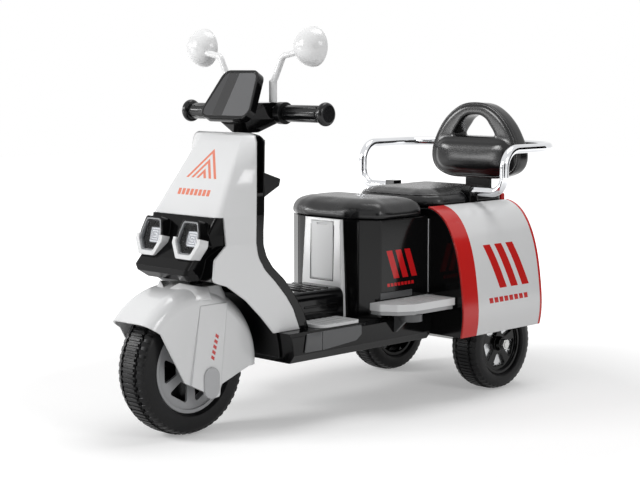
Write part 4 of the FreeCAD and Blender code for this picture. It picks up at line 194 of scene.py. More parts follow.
def vector_math(tree, operation, first, second=None):
    """A vector math node with its first input linked, and its second linked or set where there is one."""
    node = tree.nodes.new("ShaderNodeVectorMath")
    node.operation = operation
    tree.links.new(first, node.inputs[0])
    if second is not None:
        join_to(tree, second, node.inputs[1])
    return node


def bumped(tree, height, distance, strength):
    """A bump node over the given height."""
    bump = tree.nodes.new("ShaderNodeBump")
    bump.inputs["Distance"].default_value = distance
    join_to(tree, strength, bump.inputs["Strength"])
    tree.links.new(height, bump.inputs["Height"])
    return bump


def object_place(tree):
    """The object coordinates of the point being shaded."""
    return tree.nodes.new("ShaderNodeTexCoord").outputs["Object"]


moulding, given, result = node_group(
    "moulded_finish",
    (("Colour", "Color", (0.5, 0.5, 0.5, 1)), ("Tone", "Float", 0.06), ("Roughness", "Float", 0.3),
     ("Gloss Drift", "Float", 0.08), ("Grain Scale", "Float", 900.0), ("Grain Depth", "Float", 0.1),
     ("Edge", "Float", 0.001), ("Edge Lift", "Float", 0.1)),
    (("Colour", "Color"), ("Roughness", "Float"), ("Normal", "Vector")))
spot = object_place(moulding)
cloud = noise(moulding, spot, 14.0, 4.0)
grain = noise(moulding, spot, given["Grain Scale"], 2.0)
corner = moulding.nodes.new("ShaderNodeBevel")
corner.samples = 4
moulding.links.new(given["Edge"], corner.inputs["Radius"])
facing = moulding.nodes.new("ShaderNodeNewGeometry").outputs["Normal"]
turn = vector_math(moulding, "DOT_PRODUCT", corner.outputs[0], facing)
rub = spread(moulding, turn.outputs["Value"], 0.995, 0.8, 0.0, 1.0)
lift = sum_of(moulding, "MULTIPLY", rub, given["Edge Lift"])
off_middle = sum_of(moulding, "SUBTRACT", cloud, 0.5)
shade = sum_of(moulding, "MULTIPLY", off_middle, given["Tone"])
tinted = vector_math(moulding, "SCALE", given["Colour"])
level = sum_of(moulding, "ADD", sum_of(moulding, "ADD", shade, 1.0), lift)
moulding.links.new(level, tinted.inputs["Scale"])
moulding.links.new(tinted.outputs[0], result["Colour"])
drift = sum_of(moulding, "MULTIPLY", off_middle, given["Gloss Drift"])
moulding.links.new(sum_of(moulding, "ADD", given["Roughness"], drift), result["Roughness"])
pits = bumped(moulding, grain, 0.0002, given["Grain Depth"])
moulding.links.new(corner.outputs[0], pits.inputs["Normal"])
moulding.links.new(pits.outputs[0], result["Normal"])


def shader(name):
    """A material with a bare principled shader, its tree and that shader's sockets."""
    material = bpy.data.materials.new(name)
    material.use_nodes = True
    tree = material.node_tree
    tree.nodes.clear()
    surface = tree.nodes.new("ShaderNodeBsdfPrincipled")
    tree.links.new(surface.outputs[0], tree.nodes.new("ShaderNodeOutputMaterial").inputs["Surface"])
    return material, tree, surface.inputs


def moulded(name, colour, roughness, grain_scale=900.0, grain_depth=0.1, edge=0.001, edge_lift=0.1,
            tone=0.06, drift=0.08, coat=0.0, specular=0.5):
    """A moulded plastic; colour is a plain one or a function that draws it in the material's tree."""
    material, tree, surface = shader(name)
    finish = tree.nodes.new("ShaderNodeGroup")
    finish.node_tree = moulding
    join_to(tree, colour(tree) if callable(colour) else (*colour, 1), finish.inputs["Colour"])
    for label, value in (("Tone", tone), ("Roughness", roughness), ("Gloss Drift", drift),
                         ("Grain Scale", grain_scale), ("Grain Depth", grain_depth),
                         ("Edge", edge), ("Edge Lift", edge_lift)):
        finish.inputs[label].default_value = value
    tree.links.new(finish.outputs["Colour"], surface["Base Color"])
    tree.links.new(finish.outputs["Roughness"], surface["Roughness"])
    tree.links.new(finish.outputs["Normal"], surface["Normal"])
    surface["Coat Weight"].default_value = coat
    surface["Coat Roughness"].default_value = 0.06
    surface["Specular IOR Level"].default_value = specular
    return material


def dress(material, *names):
    """Gives the CAD nodes of these names the material."""
    for name in names:
        mesh = nodes[name].data
        if not mesh.materials:
            mesh.materials.append(material)
        for index in range(len(mesh.materials)):
            mesh.materials[index] = material


RUBBER_BLACK = (0.0045, 0.0045, 0.005)
RING_RATE = 1600.0


def rubber(name, centre, roughness=0.34):
    """Tyre rubber with faint moulded rings round the wheel's middle and a dusty bloom."""
    material, tree, surface = shader(name)
    place = object_place(tree)
    shift = tree.nodes.new("ShaderNodeMapping")
    shift.inputs["Location"].default_value = [-c for c in centre]
    tree.links.new(place, shift.inputs["Vector"])
    flat = vector_math(tree, "MULTIPLY", shift.outputs[0], (1, 0, 1))
    reach = vector_math(tree, "LENGTH", flat.outputs[0])
    rings = sum_of(tree, "SINE", sum_of(tree, "MULTIPLY", reach.outputs["Value"], RING_RATE))
    cloud = noise(tree, place, 30.0, 5.0)
    fine = noise(tree, place, 700.0, 2.0)
    dusty = [c * 1.6 + 0.001 for c in RUBBER_BLACK]
    bloom = spread(tree, cloud, 0.4, 0.75, 0.0, 0.6)
    tree.links.new(blend_colour(tree, bloom, (*RUBBER_BLACK, 1), (*dusty, 1)), surface["Base Color"])
    tree.links.new(spread(tree, cloud, 0.3, 0.7, roughness - 0.06, roughness + 0.1), surface["Roughness"])
    height = sum_of(tree, "ADD", sum_of(tree, "MULTIPLY", rings, 0.35), fine)
    tree.links.new(bumped(tree, height, 0.0003, 0.25).outputs[0], surface["Normal"])
    surface["Specular IOR Level"].default_value = 0.22
    return material


# Tread sizes are shares: across of half the tyre's width, foot and top of its radius, along of the pitch.
TYRE_SECTION = ((0.80, 0.669), (0.97, 0.705), (1.0, 0.78), (0.985, 0.86), (0.92, 0.925), (0.80, 0.955),
                (0.60, 0.968), (0.53, 0.945), (0.45, 0.945), (0.41, 0.975), (0.0, 0.979))
RIB_ACROSS, RIB_ALONG, RIB_FOOT, RIB_TOP = 0.4, 0.3, 0.97, 0.996
LUG_INNER, LUG_OUTER, LUG_ALONG, LUG_FOOT, LUG_TOP = 0.55, 0.93, 0.29, 0.90, 0.988
LUG_SLOPE_ACROSS, LUG_SLOPE_ABOVE, LUG_SLOPE_DROP = 0.9, 0.95, 0.05


def tyre(node, body, ribs, lugs, material_name):
    """A tyre in place of its CAD node: carcass, a band of cross ribs and two rows of shoulder lugs."""
    low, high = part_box(node)
    centre = (low + high) / 2
    radius = (high.z - low.z) / 2
    half = (high.y - low.y) / 2
    left = [(across * half, out * radius) for across, out in TYRE_SECTION]
    section = left + [(-along, out) for along, out in reversed(left[:-1])]
    carcass = turned(node + "_tread", section, centre, Y_AXIS, steps=96)
    reach = 2 * math.pi * radius / ribs * RIB_ALONG
    rib = cuboid("rib", (centre.x - reach, centre.y - half * RIB_ACROSS, centre.z + radius * RIB_FOOT),
                 (centre.x + reach, centre.y + half * RIB_ACROSS, centre.z + radius * RIB_TOP))
    round_edges(rib, width=0.0007, steps=1)
    repeat_round(rib, ribs, centre, Y_AXIS)
    rows = [rib]
    for side in (-1, 1):
        reach = 2 * math.pi * radius / lugs * LUG_ALONG
        inner, outer = sorted((centre.y + side * half * LUG_INNER, centre.y + side * half * LUG_OUTER))
        lug = cuboid("lug", (centre.x - reach, inner, centre.z + radius * LUG_FOOT),
                     (centre.x + reach, outer, centre.z + radius * LUG_TOP))
        slope = centre.y + side * half * LUG_SLOPE_ACROSS
        drawn_over(lug, lambda co: side * (co.y - slope) > 0 and co.z > centre.z + radius * LUG_SLOPE_ABOVE,
                   (0, 0, -radius * LUG_SLOPE_DROP))
        round_edges(lug, width=0.0009, steps=1)
        repeat_round(lug, lugs, centre, Y_AXIS)
        rows.append(lug)
    only(*rows, carcass)
    bpy.ops.object.join()
    finished(carcass, rubber(material_name, centre), body)
    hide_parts(node)


tyre("front_tyre", "front_wheel", ribs=84, lugs=52, material_name="front_tyre_rubber")
pale_hub = moulded("pale_hub_plastic", (0.37, 0.375, 0.385), roughness=0.34, grain_scale=700,
                   grain_depth=0.12, edge=0.0015, edge_lift=0.12)
dress(pale_hub, "front_hub")
front_low, front_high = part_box("front_tyre")
# A black disc inside the hub behind its windows: painted shade, so the windows read dark.
HUB_SHADE_SECTION = ((-0.002, 0.013), (0.002, 0.013), (0.0035, 0.030), (0.002, 0.062), (-0.002, 0.062),
               (-0.0035, 0.030))
hub_shade_disc = turned("front_hub_shade_disc", HUB_SHADE_SECTION, (front_low + front_high) / 2, Y_AXIS, steps=64)
black_paint = moulded("black_paint", (0.006, 0.006, 0.0065), roughness=0.28, grain_scale=500,
                      grain_depth=0.08, edge=0.0008, edge_lift=0.4, drift=0.12, specular=0.3)
finished(hub_shade_disc, black_paint, "front_wheel")


def metal(name, colour, roughness, stretch, wear=0.08):
    """Bare or plated metal with a fine drawn grain and smoky patches."""
    material, tree, surface = shader(name)
    place = object_place(tree)
    streaks = noise(tree, place, 260.0, 3.0, stretch)
    smoke = noise(tree, place, 25.0, 3.0)
    dull = [c * 0.8 for c in colour]
    smoky = spread(tree, smoke, 0.35, 0.8, 0.0, 0.5)
    tree.links.new(blend_colour(tree, smoky, (*colour, 1), (*dull, 1)), surface["Base Color"])
    tree.links.new(sum_of(tree, "ADD", spread(tree, streaks, 0.2, 0.8, roughness, roughness + wear),
                          spread(tree, smoke, 0.3, 0.8, 0.0, wear)), surface["Roughness"])
    surface["Metallic"].default_value = 1.0
    bump = bumped(tree, streaks, 0.0001, 0.08)
    corner = tree.nodes.new("ShaderNodeBevel")
    corner.inputs["Radius"].default_value = 0.0006
    tree.links.new(corner.outputs[0], bump.inputs["Normal"])
    tree.links.new(bump.outputs[0], surface["Normal"])
    return material


drawn_steel = metal("drawn_steel", (0.62, 0.62, 0.61), roughness=0.24, stretch=(1, 12, 1))
dress(drawn_steel, "front_axle")

# Steering fork. Pressed steel legs, a crown and a stem, painted black; the stem turns in two nylon
# bushes, and a grey plug closes the foot of each leg cover.
dress(black_paint, "steering_fork")
nylon = moulded("white_nylon", (0.72, 0.71, 0.66), roughness=0.45, grain_scale=1200, grain_depth=0.2)
dress(nylon, "steering_bushes")
plug_grey = moulded("plug_grey_plastic", (0.50, 0.505, 0.515), roughness=0.30, edge=0.002)
dress(plug_grey, "fork_caps")

# Front mudguard. One glossy white injection moulding that turns with the fork, with a neck round the
# crown and a printed row of red bars on each leg cover; a thin cowl stands on its top, round a gloss
# black block below the lamps that is painted shade for the dark inside of the hollow.
WHITE = (0.80, 0.805, 0.81)
MARK_RED = (0.62, 0.03, 0.025)
POLISHED = {"roughness": 0.16, "grain_scale": 1500, "grain_depth": 0.03, "edge_lift": 0.03, "tone": 0.03,
            "drift": 0.05, "coat": 0.25}
LEG_BARS_X, LEG_BARS_Z = 0.338, 0.151
LEG_BARS_SINE, LEG_BARS_COSINE = 0.293, 0.957
LEG_COVER_Y = 0.050
bars, given, result = node_group(
    "slanted_bars",
    (("Along", "Float", 0.0), ("Up", "Float", 0.0), ("Slant", "Float", 0.35), ("Pitch", "Float", 0.02),
     ("Share", "Float", 0.6), ("Half Width", "Float", 0.03), ("Half Height", "Float", 0.03)),
    (("Mask", "Float"),))
lean = sum_of(bars, "ADD", given["Along"], sum_of(bars, "MULTIPLY", given["Up"], given["Slant"]))
from_edge = sum_of(bars, "ADD", lean, given["Half Width"])
phase = sum_of(bars, "FRACT", sum_of(bars, "DIVIDE", from_edge, given["Pitch"]))
in_bar = sum_of(bars, "LESS_THAN", phase, given["Share"])
in_width = sum_of(bars, "LESS_THAN", sum_of(bars, "ABSOLUTE", lean), given["Half Width"])
in_height = sum_of(bars, "LESS_THAN", sum_of(bars, "ABSOLUTE", given["Up"]), given["Half Height"])
in_row = sum_of(bars, "MULTIPLY", in_width, in_height)
bars.links.new(sum_of(bars, "MULTIPLY", in_bar, in_row), result["Mask"])


def printed_bars(tree, along, up, slant, pitch, share, half_width, half_height):
    """Mask of a printed row of slanted bars."""
    row = tree.nodes.new("ShaderNodeGroup")
    row.node_tree = bars
    for label, value in (("Along", along), ("Up", up), ("Slant", slant), ("Pitch", pitch), ("Share", share),
                         ("Half Width", half_width), ("Half Height", half_height)):
        join_to(tree, value, row.inputs[label])
    return row.outputs["Mask"]


def axes(tree):
    """The x, y and z of the point being shaded."""
    split = tree.nodes.new("ShaderNodeSeparateXYZ")
    tree.links.new(object_place(tree), split.inputs[0])
    return split.outputs


def mudguard_print(tree):
    """White with a row of red bars up the outer face of each leg cover."""
    x, y, z = axes(tree)
    ahead = sum_of(tree, "SUBTRACT", x, LEG_BARS_X)
    above = sum_of(tree, "SUBTRACT", z, LEG_BARS_Z)
    along = sum_of(tree, "SUBTRACT", sum_of(tree, "MULTIPLY", ahead, LEG_BARS_SINE),
                   sum_of(tree, "MULTIPLY", above, LEG_BARS_COSINE))
    across = sum_of(tree, "ADD", sum_of(tree, "MULTIPLY", ahead, LEG_BARS_COSINE),
                    sum_of(tree, "MULTIPLY", above, LEG_BARS_SINE))
    outside = sum_of(tree, "GREATER_THAN", sum_of(tree, "ABSOLUTE", y), LEG_COVER_Y)
    mark = printed_bars(tree, along, across, slant=0.35, pitch=0.0092, share=0.62, half_width=0.0225,
                        half_height=0.0040)
    return blend_colour(tree, sum_of(tree, "MULTIPLY", mark, outside), (*WHITE, 1), (*MARK_RED, 1))


mudguard_white = moulded("mudguard_white_plastic", mudguard_print, edge=0.0025, **POLISHED)
dress(mudguard_white, "front_mudguard")
COWL_WALL = 0.003
COWL_TOP = ((0.345, 0.052, 0.2535), (0.370, 0.044, 0.2580), (0.386, 0.025, 0.2620), (0.391, 0.012, 0.2550),
            (0.394, 0.0, 0.2475))
COWL_FOOT = ((0.345, 0.060, 0.234), (0.378, 0.054, 0.234), (0.400, 0.032, 0.232), (0.408, 0.014, 0.232),
             (0.411, 0.0, 0.232))
COWL_STEPS = 2 * (len(COWL_TOP) - 1)
bpy.ops.object.select_all(action="DESELECT")
bpy.ops.mesh.primitive_grid_add(x_subdivisions=COWL_STEPS, y_subdivisions=1, size=1)
cowl = bpy.context.object
cowl.name = "mudguard_cowl"
for vertex in cowl.data.vertices:
    step = round((vertex.co.x + 0.5) * COWL_STEPS)
    x, y, z = (COWL_TOP if vertex.co.y > 0 else COWL_FOOT)[min(step, COWL_STEPS - step)]
    vertex.co = (x, y if step < COWL_STEPS / 2 else -y, z)
bpy.ops.object.mode_set(mode="EDIT")
bpy.ops.mesh.select_all(action="SELECT")
bpy.ops.mesh.normals_make_consistent(inside=False)
bpy.ops.object.mode_set(mode="OBJECT")
wall = cowl.modifiers.new("wall", "SOLIDIFY")
wall.thickness = COWL_WALL
bpy.ops.object.modifier_apply(modifier=wall.name)
round_edges(cowl, width=0.0011, steps=3, least=50)
gloss_white = moulded("gloss_white_plastic", WHITE, edge=0.0025, **POLISHED)
finished(cowl, gloss_white, "steering")
BLACK = (0.0035, 0.0035, 0.0038)
# A gloss black block inside the cowl: painted shade standing in for the dark inside of the hollow.
HOLLOW_SHADE_LOW, HOLLOW_SHADE_HIGH = (0.345, -0.030, 0.234), (0.3770, 0.030, 0.2520)
hollow_shade = cuboid("mudguard_hollow_shade", HOLLOW_SHADE_LOW, HOLLOW_SHADE_HIGH)
round_edges(hollow_shade, width=0.003)
gloss_black = moulded("gloss_black_plastic", BLACK, roughness=0.10, grain_scale=1500, grain_depth=0.03,
                      edge=0.0022, edge_lift=0.5, tone=0.2, drift=0.04, specular=0.24)
finished(hollow_shade, gloss_black, "steering")

# Leg shield. A glossy white front moulding with printed bars on its face, clipped to a black inner
# moulding that carries the steering column cover, the wheel arch and a bag hook.
SALMON = (0.80, 0.22, 0.13)
FACE_SLOPE, FACE_REACH = 0.649, 0.580
CHEVRONS_Z, SHIELD_RULE_Z = 0.455, 0.408


def shield_print(tree):
    """White with salmon chevrons over a short rule on the sloping face."""
    x, y, z = axes(tree)
    reach = sum_of(tree, "ADD", x, sum_of(tree, "MULTIPLY", z, FACE_SLOPE))
    on_face = sum_of(tree, "GREATER_THAN", reach, FACE_REACH)
    chevrons = printed_bars(tree, sum_of(tree, "ABSOLUTE", y), sum_of(tree, "SUBTRACT", z, CHEVRONS_Z),
                            slant=0.8, pitch=0.013, share=0.5, half_width=0.026, half_height=0.024)
    rule = printed_bars(tree, y, sum_of(tree, "SUBTRACT", z, SHIELD_RULE_Z), slant=0.2, pitch=0.0105,
                        share=0.72, half_width=0.042, half_height=0.005)
    mask = sum_of(tree, "MULTIPLY", sum_of(tree, "MAXIMUM", chevrons, rule), on_face)
    return blend_colour(tree, mask, (*WHITE, 1), (*SALMON, 1))


shield_white = moulded("printed_white_plastic", shield_print, edge=0.003, **POLISHED)
dress(shield_white, "leg_shield_front")
dress(gloss_black, "leg_shield_inner")
satin_black = moulded("satin_black_plastic", (0.0055, 0.0055, 0.006), roughness=0.32, grain_depth=0.15,
                      edge=0.0015, edge_lift=0.4, tone=0.2, specular=0.3)
dress(satin_black, "bag_hook")

# Headlight. A black nose moulding screwed between the white cheeks; each lamp has a grey bezel, a thick
# white lower surround, a bright reflector with a projector block whose stepped light and dark rings are
# painted reflections, and a clear window.
nose_black = moulded("nose_black_plastic", (0.003, 0.003, 0.0033), roughness=0.10, grain_scale=1500,
                     grain_depth=0.03, edge=0.0022, edge_lift=0.5, tone=0.2, drift=0.04, specular=0.12)
dress(nose_black, "headlight_housing")
bezel_grey = moulded("bezel_grey_plastic", (0.22, 0.225, 0.235), roughness=0.25, grain_scale=1200,
                     grain_depth=0.06, edge=0.0008, edge_lift=0.2)
dress(bezel_grey, "lamp_bezels")
dress(gloss_white, "lamp_trims")
LAMP_Y = 0.048
LAMP_X, LAMP_Z = 0.3858, 0.338
LAMP_LEAN = math.radians(14)
PROJECTOR_HALF = 0.0131
PAINTED_REFLECTION_RATE = 260.0
PAN_BLACK = (0.004, 0.004, 0.0045, 1)
# Light and dark rings on the projector block: painted reflections of its steps.
PAINTED_REFLECTION_DARK, PAINTED_REFLECTION_BRIGHT = (0.30, 0.31, 0.33, 1), (0.88, 0.89, 0.90, 1)


def projector_finish(name):
    """Dark lamp pan with a bright projector block in its middle, whose stepped light and dark rings are
    painted reflections.
    """
    material, tree, surface = shader(name)
    x, y, z = axes(tree)
    aside = sum_of(tree, "ABSOLUTE", sum_of(tree, "SUBTRACT", sum_of(tree, "ABSOLUTE", y), LAMP_Y))
    back = sum_of(tree, "MULTIPLY", sum_of(tree, "SUBTRACT", x, LAMP_X), -math.sin(LAMP_LEAN))
    up = sum_of(tree, "MULTIPLY", sum_of(tree, "SUBTRACT", z, LAMP_Z), math.cos(LAMP_LEAN))
    off = sum_of(tree, "MAXIMUM", aside, sum_of(tree, "ABSOLUTE", sum_of(tree, "ADD", back, up)))
    bright = sum_of(tree, "LESS_THAN", off, PROJECTOR_HALF)
    steps = sum_of(tree, "FRACT", sum_of(tree, "MULTIPLY", off, PAINTED_REFLECTION_RATE))
    silver = blend_colour(tree, spread(tree, steps, 0.2, 0.9, 0.25, 1.0), PAINTED_REFLECTION_DARK, PAINTED_REFLECTION_BRIGHT)
    tree.links.new(blend_colour(tree, bright, PAN_BLACK, silver), surface["Base Color"])
    tree.links.new(bright, surface["Metallic"])
    haze = noise(tree, object_place(tree), 300.0)
    tree.links.new(spread(tree, haze, 0.2, 0.8, 0.08, 0.16), surface["Roughness"])
    surface["Specular IOR Level"].default_value = 0.3
    return material


dress(projector_finish("projector_silver"), "lamp_reflectors")
FLUTE_RATE = 1500.0


def clear_window(name, tint, roughness):
    """Clear moulded window with faint vertical flutes."""
    material, tree, surface = shader(name)
    x, y, z = axes(tree)
    flutes = sum_of(tree, "SINE", sum_of(tree, "MULTIPLY", y, FLUTE_RATE))
    haze = noise(tree, object_place(tree), 60.0, 3.0)
    tree.links.new(bumped(tree, flutes, 0.0003, 0.12).outputs[0], surface["Normal"])
    tree.links.new(spread(tree, haze, 0.3, 0.8, roughness, roughness + 0.04), surface["Roughness"])
    hazy = [c * 0.94 for c in tint]
    tree.links.new(blend_colour(tree, haze, (*tint, 1), (*hazy, 1)), surface["Base Color"])
    surface["Transmission Weight"].default_value = 1.0
    surface["IOR"].default_value = 1.2
    return material


dress(clear_window("lamp_window", (0.98, 0.985, 1.0), roughness=0.02), "lamp_lenses")

# Handlebar. A steel cross tube in a black two-piece cover with a leaning visor, a dark dash plate, rubber
# grips with raised bars and domed ends, and two push buttons for horn and music.
dress(drawn_steel, "handlebar_tube")
dress(gloss_black, "handlebar_cover_front", "handlebar_cover_rear")
dress(satin_black, "bar_collars")
DASH_PALE_FROM, DASH_SHADE_TO = -0.004, -0.030
DASH_PALE = (0.105, 0.106, 0.110, 1)
DASH_DARK, DASH_SHADE = (0.013, 0.013, 0.014, 1), (0.030, 0.030, 0.032, 1)


def dash_two_tone(tree):
    """A pale left half, a dark right half and a lighter band at its end."""
    x, y, z = axes(tree)
    dark = blend_colour(tree, sum_of(tree, "LESS_THAN", y, DASH_SHADE_TO), DASH_DARK, DASH_SHADE)
    return blend_colour(tree, sum_of(tree, "GREATER_THAN", y, DASH_PALE_FROM), dark, DASH_PALE)


dash_finish = moulded("dash_plate_plastic", dash_two_tone, roughness=0.22, grain_scale=1200,
                      grain_depth=0.05, edge_lift=0.2)
dress(dash_finish, "dash_plate")
grip_rubber = moulded("grip_rubber", RUBBER_BLACK, roughness=0.20, grain_scale=1000, grain_depth=0.15,
                      edge=0.0012, edge_lift=0.3, specular=0.35)
dress(grip_rubber, "grips")
SIDES = ((1, "left"), (-1, "right"))
GRIP_BAR_COUNT = 6
GRIP_BAR_ENDS = (0.083, 0.158)
GRIP_BAR_FOOT, GRIP_BAR_TOP, GRIP_BAR_HALF = 0.0105, 0.0146, 0.0042
grip_low, grip_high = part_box("grips")
bar = (grip_low + grip_high) / 2
for side, label in SIDES:
    inner, outer = sorted(side * end for end in GRIP_BAR_ENDS)
    pad = cuboid("grip_bars_" + label, (bar.x + GRIP_BAR_FOOT, inner, bar.z - GRIP_BAR_HALF),
                 (bar.x + GRIP_BAR_TOP, outer, bar.z + GRIP_BAR_HALF))
    round_edges(pad, width=0.0014, steps=3)
    repeat_round(pad, GRIP_BAR_COUNT, bar, Y_AXIS)
    finished(pad, grip_rubber, "steering")
red_plastic = moulded("red_plastic", (0.55, 0.012, 0.012), roughness=0.22, grain_scale=1200,
                      grain_depth=0.05, edge_lift=0.2)
yellow_plastic = moulded("yellow_plastic", (0.70, 0.42, 0.03), roughness=0.26, grain_scale=1200,
                         grain_depth=0.05, edge_lift=0.2)
dress(red_plastic, "horn_button")
dress(yellow_plastic, "music_button")

# Mirrors. Pale grey domed shells on bent arms, each with a stem that swivels in the handlebar cover, and
# a round silvered glass facing the rider inside a thin moulded rim.
mirror_shell = moulded("pale_mirror_plastic", (0.86, 0.862, 0.865), roughness=0.22, grain_scale=1500,
                       grain_depth=0.04, edge=0.0015, edge_lift=0.04, tone=0.04, drift=0.05, coat=0.2)
dress(mirror_shell, "mirror_left", "mirror_right")
RIM_OUT, RIM_AHEAD = 0.0021, 0.001
RIM_HALF_DEPTH, RIM_HALF_WIDTH = 0.0016, 0.0012
for side, label in SIDES:
    low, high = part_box("mirror_glass_" + label)
    middle = (low + high) / 2
    middle.x = high.x + RIM_AHEAD
    rim_radius = (high.z - low.z) / 2 + RIM_OUT
    ring = [(RIM_HALF_DEPTH * math.cos(turn), rim_radius + RIM_HALF_WIDTH * math.sin(turn))
            for turn in (math.radians(step * 45) for step in range(8))]
    rim = turned("mirror_rim_" + label, ring, middle, (1, 0, 0), steps=72)
    finished(rim, mirror_shell, "mirror_" + label)
silvered = metal("silvered_glass", (0.90, 0.91, 0.92), roughness=0.015, stretch=(1, 1, 1), wear=0.01)
dress(silvered, "mirror_glass_left", "mirror_glass_right")

# Chassis and floor. One black moulding open below, with dark sill panels on its sides, pale ribbed mats
# each side of a glossy tunnel cover with raised ridges, and the accelerator pedal hinged in two ears.
dress(gloss_black, "chassis_base", "floor_tunnel")
sill_grey = moulded("sill_grey_plastic", (0.085, 0.087, 0.090), roughness=0.30, grain_depth=0.12,
                    edge=0.0015, edge_lift=0.35)
dress(sill_grey, "sill_panels")
SILL_WALL, SILL_SEAM, SILL_LENGTH, SILL_TOE = 0.0034, 0.0006, 0.037, 0.006
SILL_TOE_AHEAD, SILL_TOE_BELOW = 0.03, 0.01
sill_low, sill_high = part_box("sill_panels")
for side, label in SIDES:
    inner, outer = sorted((side * (sill_high.y - SILL_WALL), side * sill_high.y))
    sill = cuboid("sill_front_" + label, (sill_high.x + SILL_SEAM, inner, sill_low.z),
                  (sill_high.x + SILL_LENGTH, outer, sill_high.z))
    drawn_over(sill, lambda co: co.x > sill_high.x + SILL_TOE_AHEAD and co.z < sill_low.z + SILL_TOE_BELOW,
               (SILL_TOE, 0, 0))
    round_edges(sill, width=0.0014, steps=3)
    finished(sill, sill_grey, "chassis")
silver_grey = moulded("silver_grey_plastic", (0.72, 0.725, 0.73), roughness=0.24, grain_scale=1100,
                      grain_depth=0.08, edge=0.0018, edge_lift=0.15, coat=0.2)
dress(silver_grey, "foot_mats")
dress(satin_black, "foot_pedal")
RIDGE_SHARES = (0.20, 0.36, 0.52, 0.68)
RIDGE_LENGTH, RIDGE_INSET, RIDGE_SUNK, RIDGE_PROUD = 0.009, 0.014, 0.002, 0.0022
tunnel_low, tunnel_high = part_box("floor_tunnel")
for count, share in enumerate(RIDGE_SHARES):
    at = tunnel_low.x + (tunnel_high.x - tunnel_low.x) * share
    ridge = cuboid(f"tunnel_ridge_{count}", (at, tunnel_low.y + RIDGE_INSET, tunnel_high.z - RIDGE_SUNK),
                   (at + RIDGE_LENGTH, tunnel_high.y - RIDGE_INSET, tunnel_high.z + RIDGE_PROUD))
    round_edges(ridge, width=0.0018, steps=3)
    finished(ridge, gloss_black, "chassis")
RAIL_FEET = (0.180, 0.192)
RAIL_HEIGHT, RAIL_INSET, RAIL_SUNK, RAIL_PROUD = 0.005, 0.016, 0.003, 0.0016
for side, label in SIDES:
    for count, foot in enumerate(RAIL_FEET):
        inner, outer = sorted((side * (tunnel_high.y - RAIL_SUNK), side * (tunnel_high.y + RAIL_PROUD)))
        rail = cuboid(f"tunnel_rail_{label}_{count}", (tunnel_low.x + RAIL_INSET, inner, foot),
                      (tunnel_high.x - RAIL_INSET, outer, foot + RAIL_HEIGHT))
        round_edges(rail, width=0.0015, steps=3)
        finished(rail, gloss_black, "chassis")

# Seat box. A glossy black box screwed to the floor, with printed bars, a grey plate and a thin pale strip
# that is a painted highlight on the rear edge of each side, a white front panel that holds the battery
# behind a hinged hatch ringed by black strips of painted shadow in its gaps, and a charging socket on the
# right.
BOX_RED = (0.62, 0.012, 0.015)
BOX_SIDE_Y = 0.1105
BOX_BARS_X, BOX_BARS_Z, BOX_RULE_Z = -0.066, 0.261, 0.224


def box_print(tree):
    """Black with red bars over a short rule on each side."""
    x, y, z = axes(tree)
    on_side = sum_of(tree, "GREATER_THAN", sum_of(tree, "ABSOLUTE", y), BOX_SIDE_Y)
    along = sum_of(tree, "SUBTRACT", x, BOX_BARS_X)
    marks = printed_bars(tree, along, sum_of(tree, "SUBTRACT", z, BOX_BARS_Z), slant=-0.4, pitch=0.0243,
                         share=0.62, half_width=0.036, half_height=0.026)
    rule = printed_bars(tree, along, sum_of(tree, "SUBTRACT", z, BOX_RULE_Z), slant=-0.2, pitch=0.0093,
                        share=0.75, half_width=0.037, half_height=0.0030)
    mask = sum_of(tree, "MULTIPLY", sum_of(tree, "MAXIMUM", marks, rule), on_side)
    return blend_colour(tree, mask, (*BLACK, 1), (*BOX_RED, 1))


box_black = moulded("printed_black_plastic", box_print, roughness=0.11, grain_scale=1500,
                    grain_depth=0.03, edge=0.003, edge_lift=0.3, tone=0.2, drift=0.04, specular=0.24)
dress(box_black, "seat_box")
dress(gloss_white, "seat_box_front")
hatch_white = moulded("hatch_white_plastic", (0.70, 0.705, 0.71), roughness=0.25, grain_scale=1500,
                      grain_depth=0.05, edge=0.0012, edge_lift=0.04)
dress(hatch_white, "battery_hatch")
FRONT_LEAN, FRONT_FOOT = 0.0283, 0.1663
# Thin black strips round the hatch: painted shadow in the gaps between the hatch and the panel.
GAP_SHADOW_IN, GAP_SHADOW_OUT = 0.0284, 0.0299
GAP_SHADOW_SUNK, GAP_SHADOW_PROUD = 0.002, 0.0005
SIDE_GAP_SHADOW_FOOT_DROP, SIDE_GAP_SHADOW_HEAD_DROP = 0.002, 0.006
LOWER_GAP_SHADOW_FOOT_DROP, LOWER_GAP_SHADOW_HEAD_DROP = 0.0022, 0.0007
GAP_SHADOW_TOP_BAND = 0.0001
hatch_low, hatch_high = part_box("battery_hatch")
face_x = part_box("seat_box_front")[1].x
side_foot, side_head = hatch_low.z - SIDE_GAP_SHADOW_FOOT_DROP, hatch_high.z - SIDE_GAP_SHADOW_HEAD_DROP
strips = ((GAP_SHADOW_IN, GAP_SHADOW_OUT, side_foot, side_head), (-GAP_SHADOW_OUT, -GAP_SHADOW_IN, side_foot, side_head),
          (-GAP_SHADOW_OUT, GAP_SHADOW_OUT, hatch_low.z - LOWER_GAP_SHADOW_FOOT_DROP, hatch_low.z - LOWER_GAP_SHADOW_HEAD_DROP))
for count, (inner, outer, foot, head) in enumerate(strips):
    front = face_x - (foot - FRONT_FOOT) * FRONT_LEAN
    gap_shadow = cuboid(f"hatch_gap_shadow_{count}", (front - GAP_SHADOW_SUNK, inner, foot),
                  (front + GAP_SHADOW_PROUD, outer, head))
    drawn_over(gap_shadow, lambda co: co.z > head - GAP_SHADOW_TOP_BAND, (-(head - foot) * FRONT_LEAN, 0, 0))
    round_edges(gap_shadow, width=0.0003, steps=1)
    finished(gap_shadow, satin_black, "chassis")
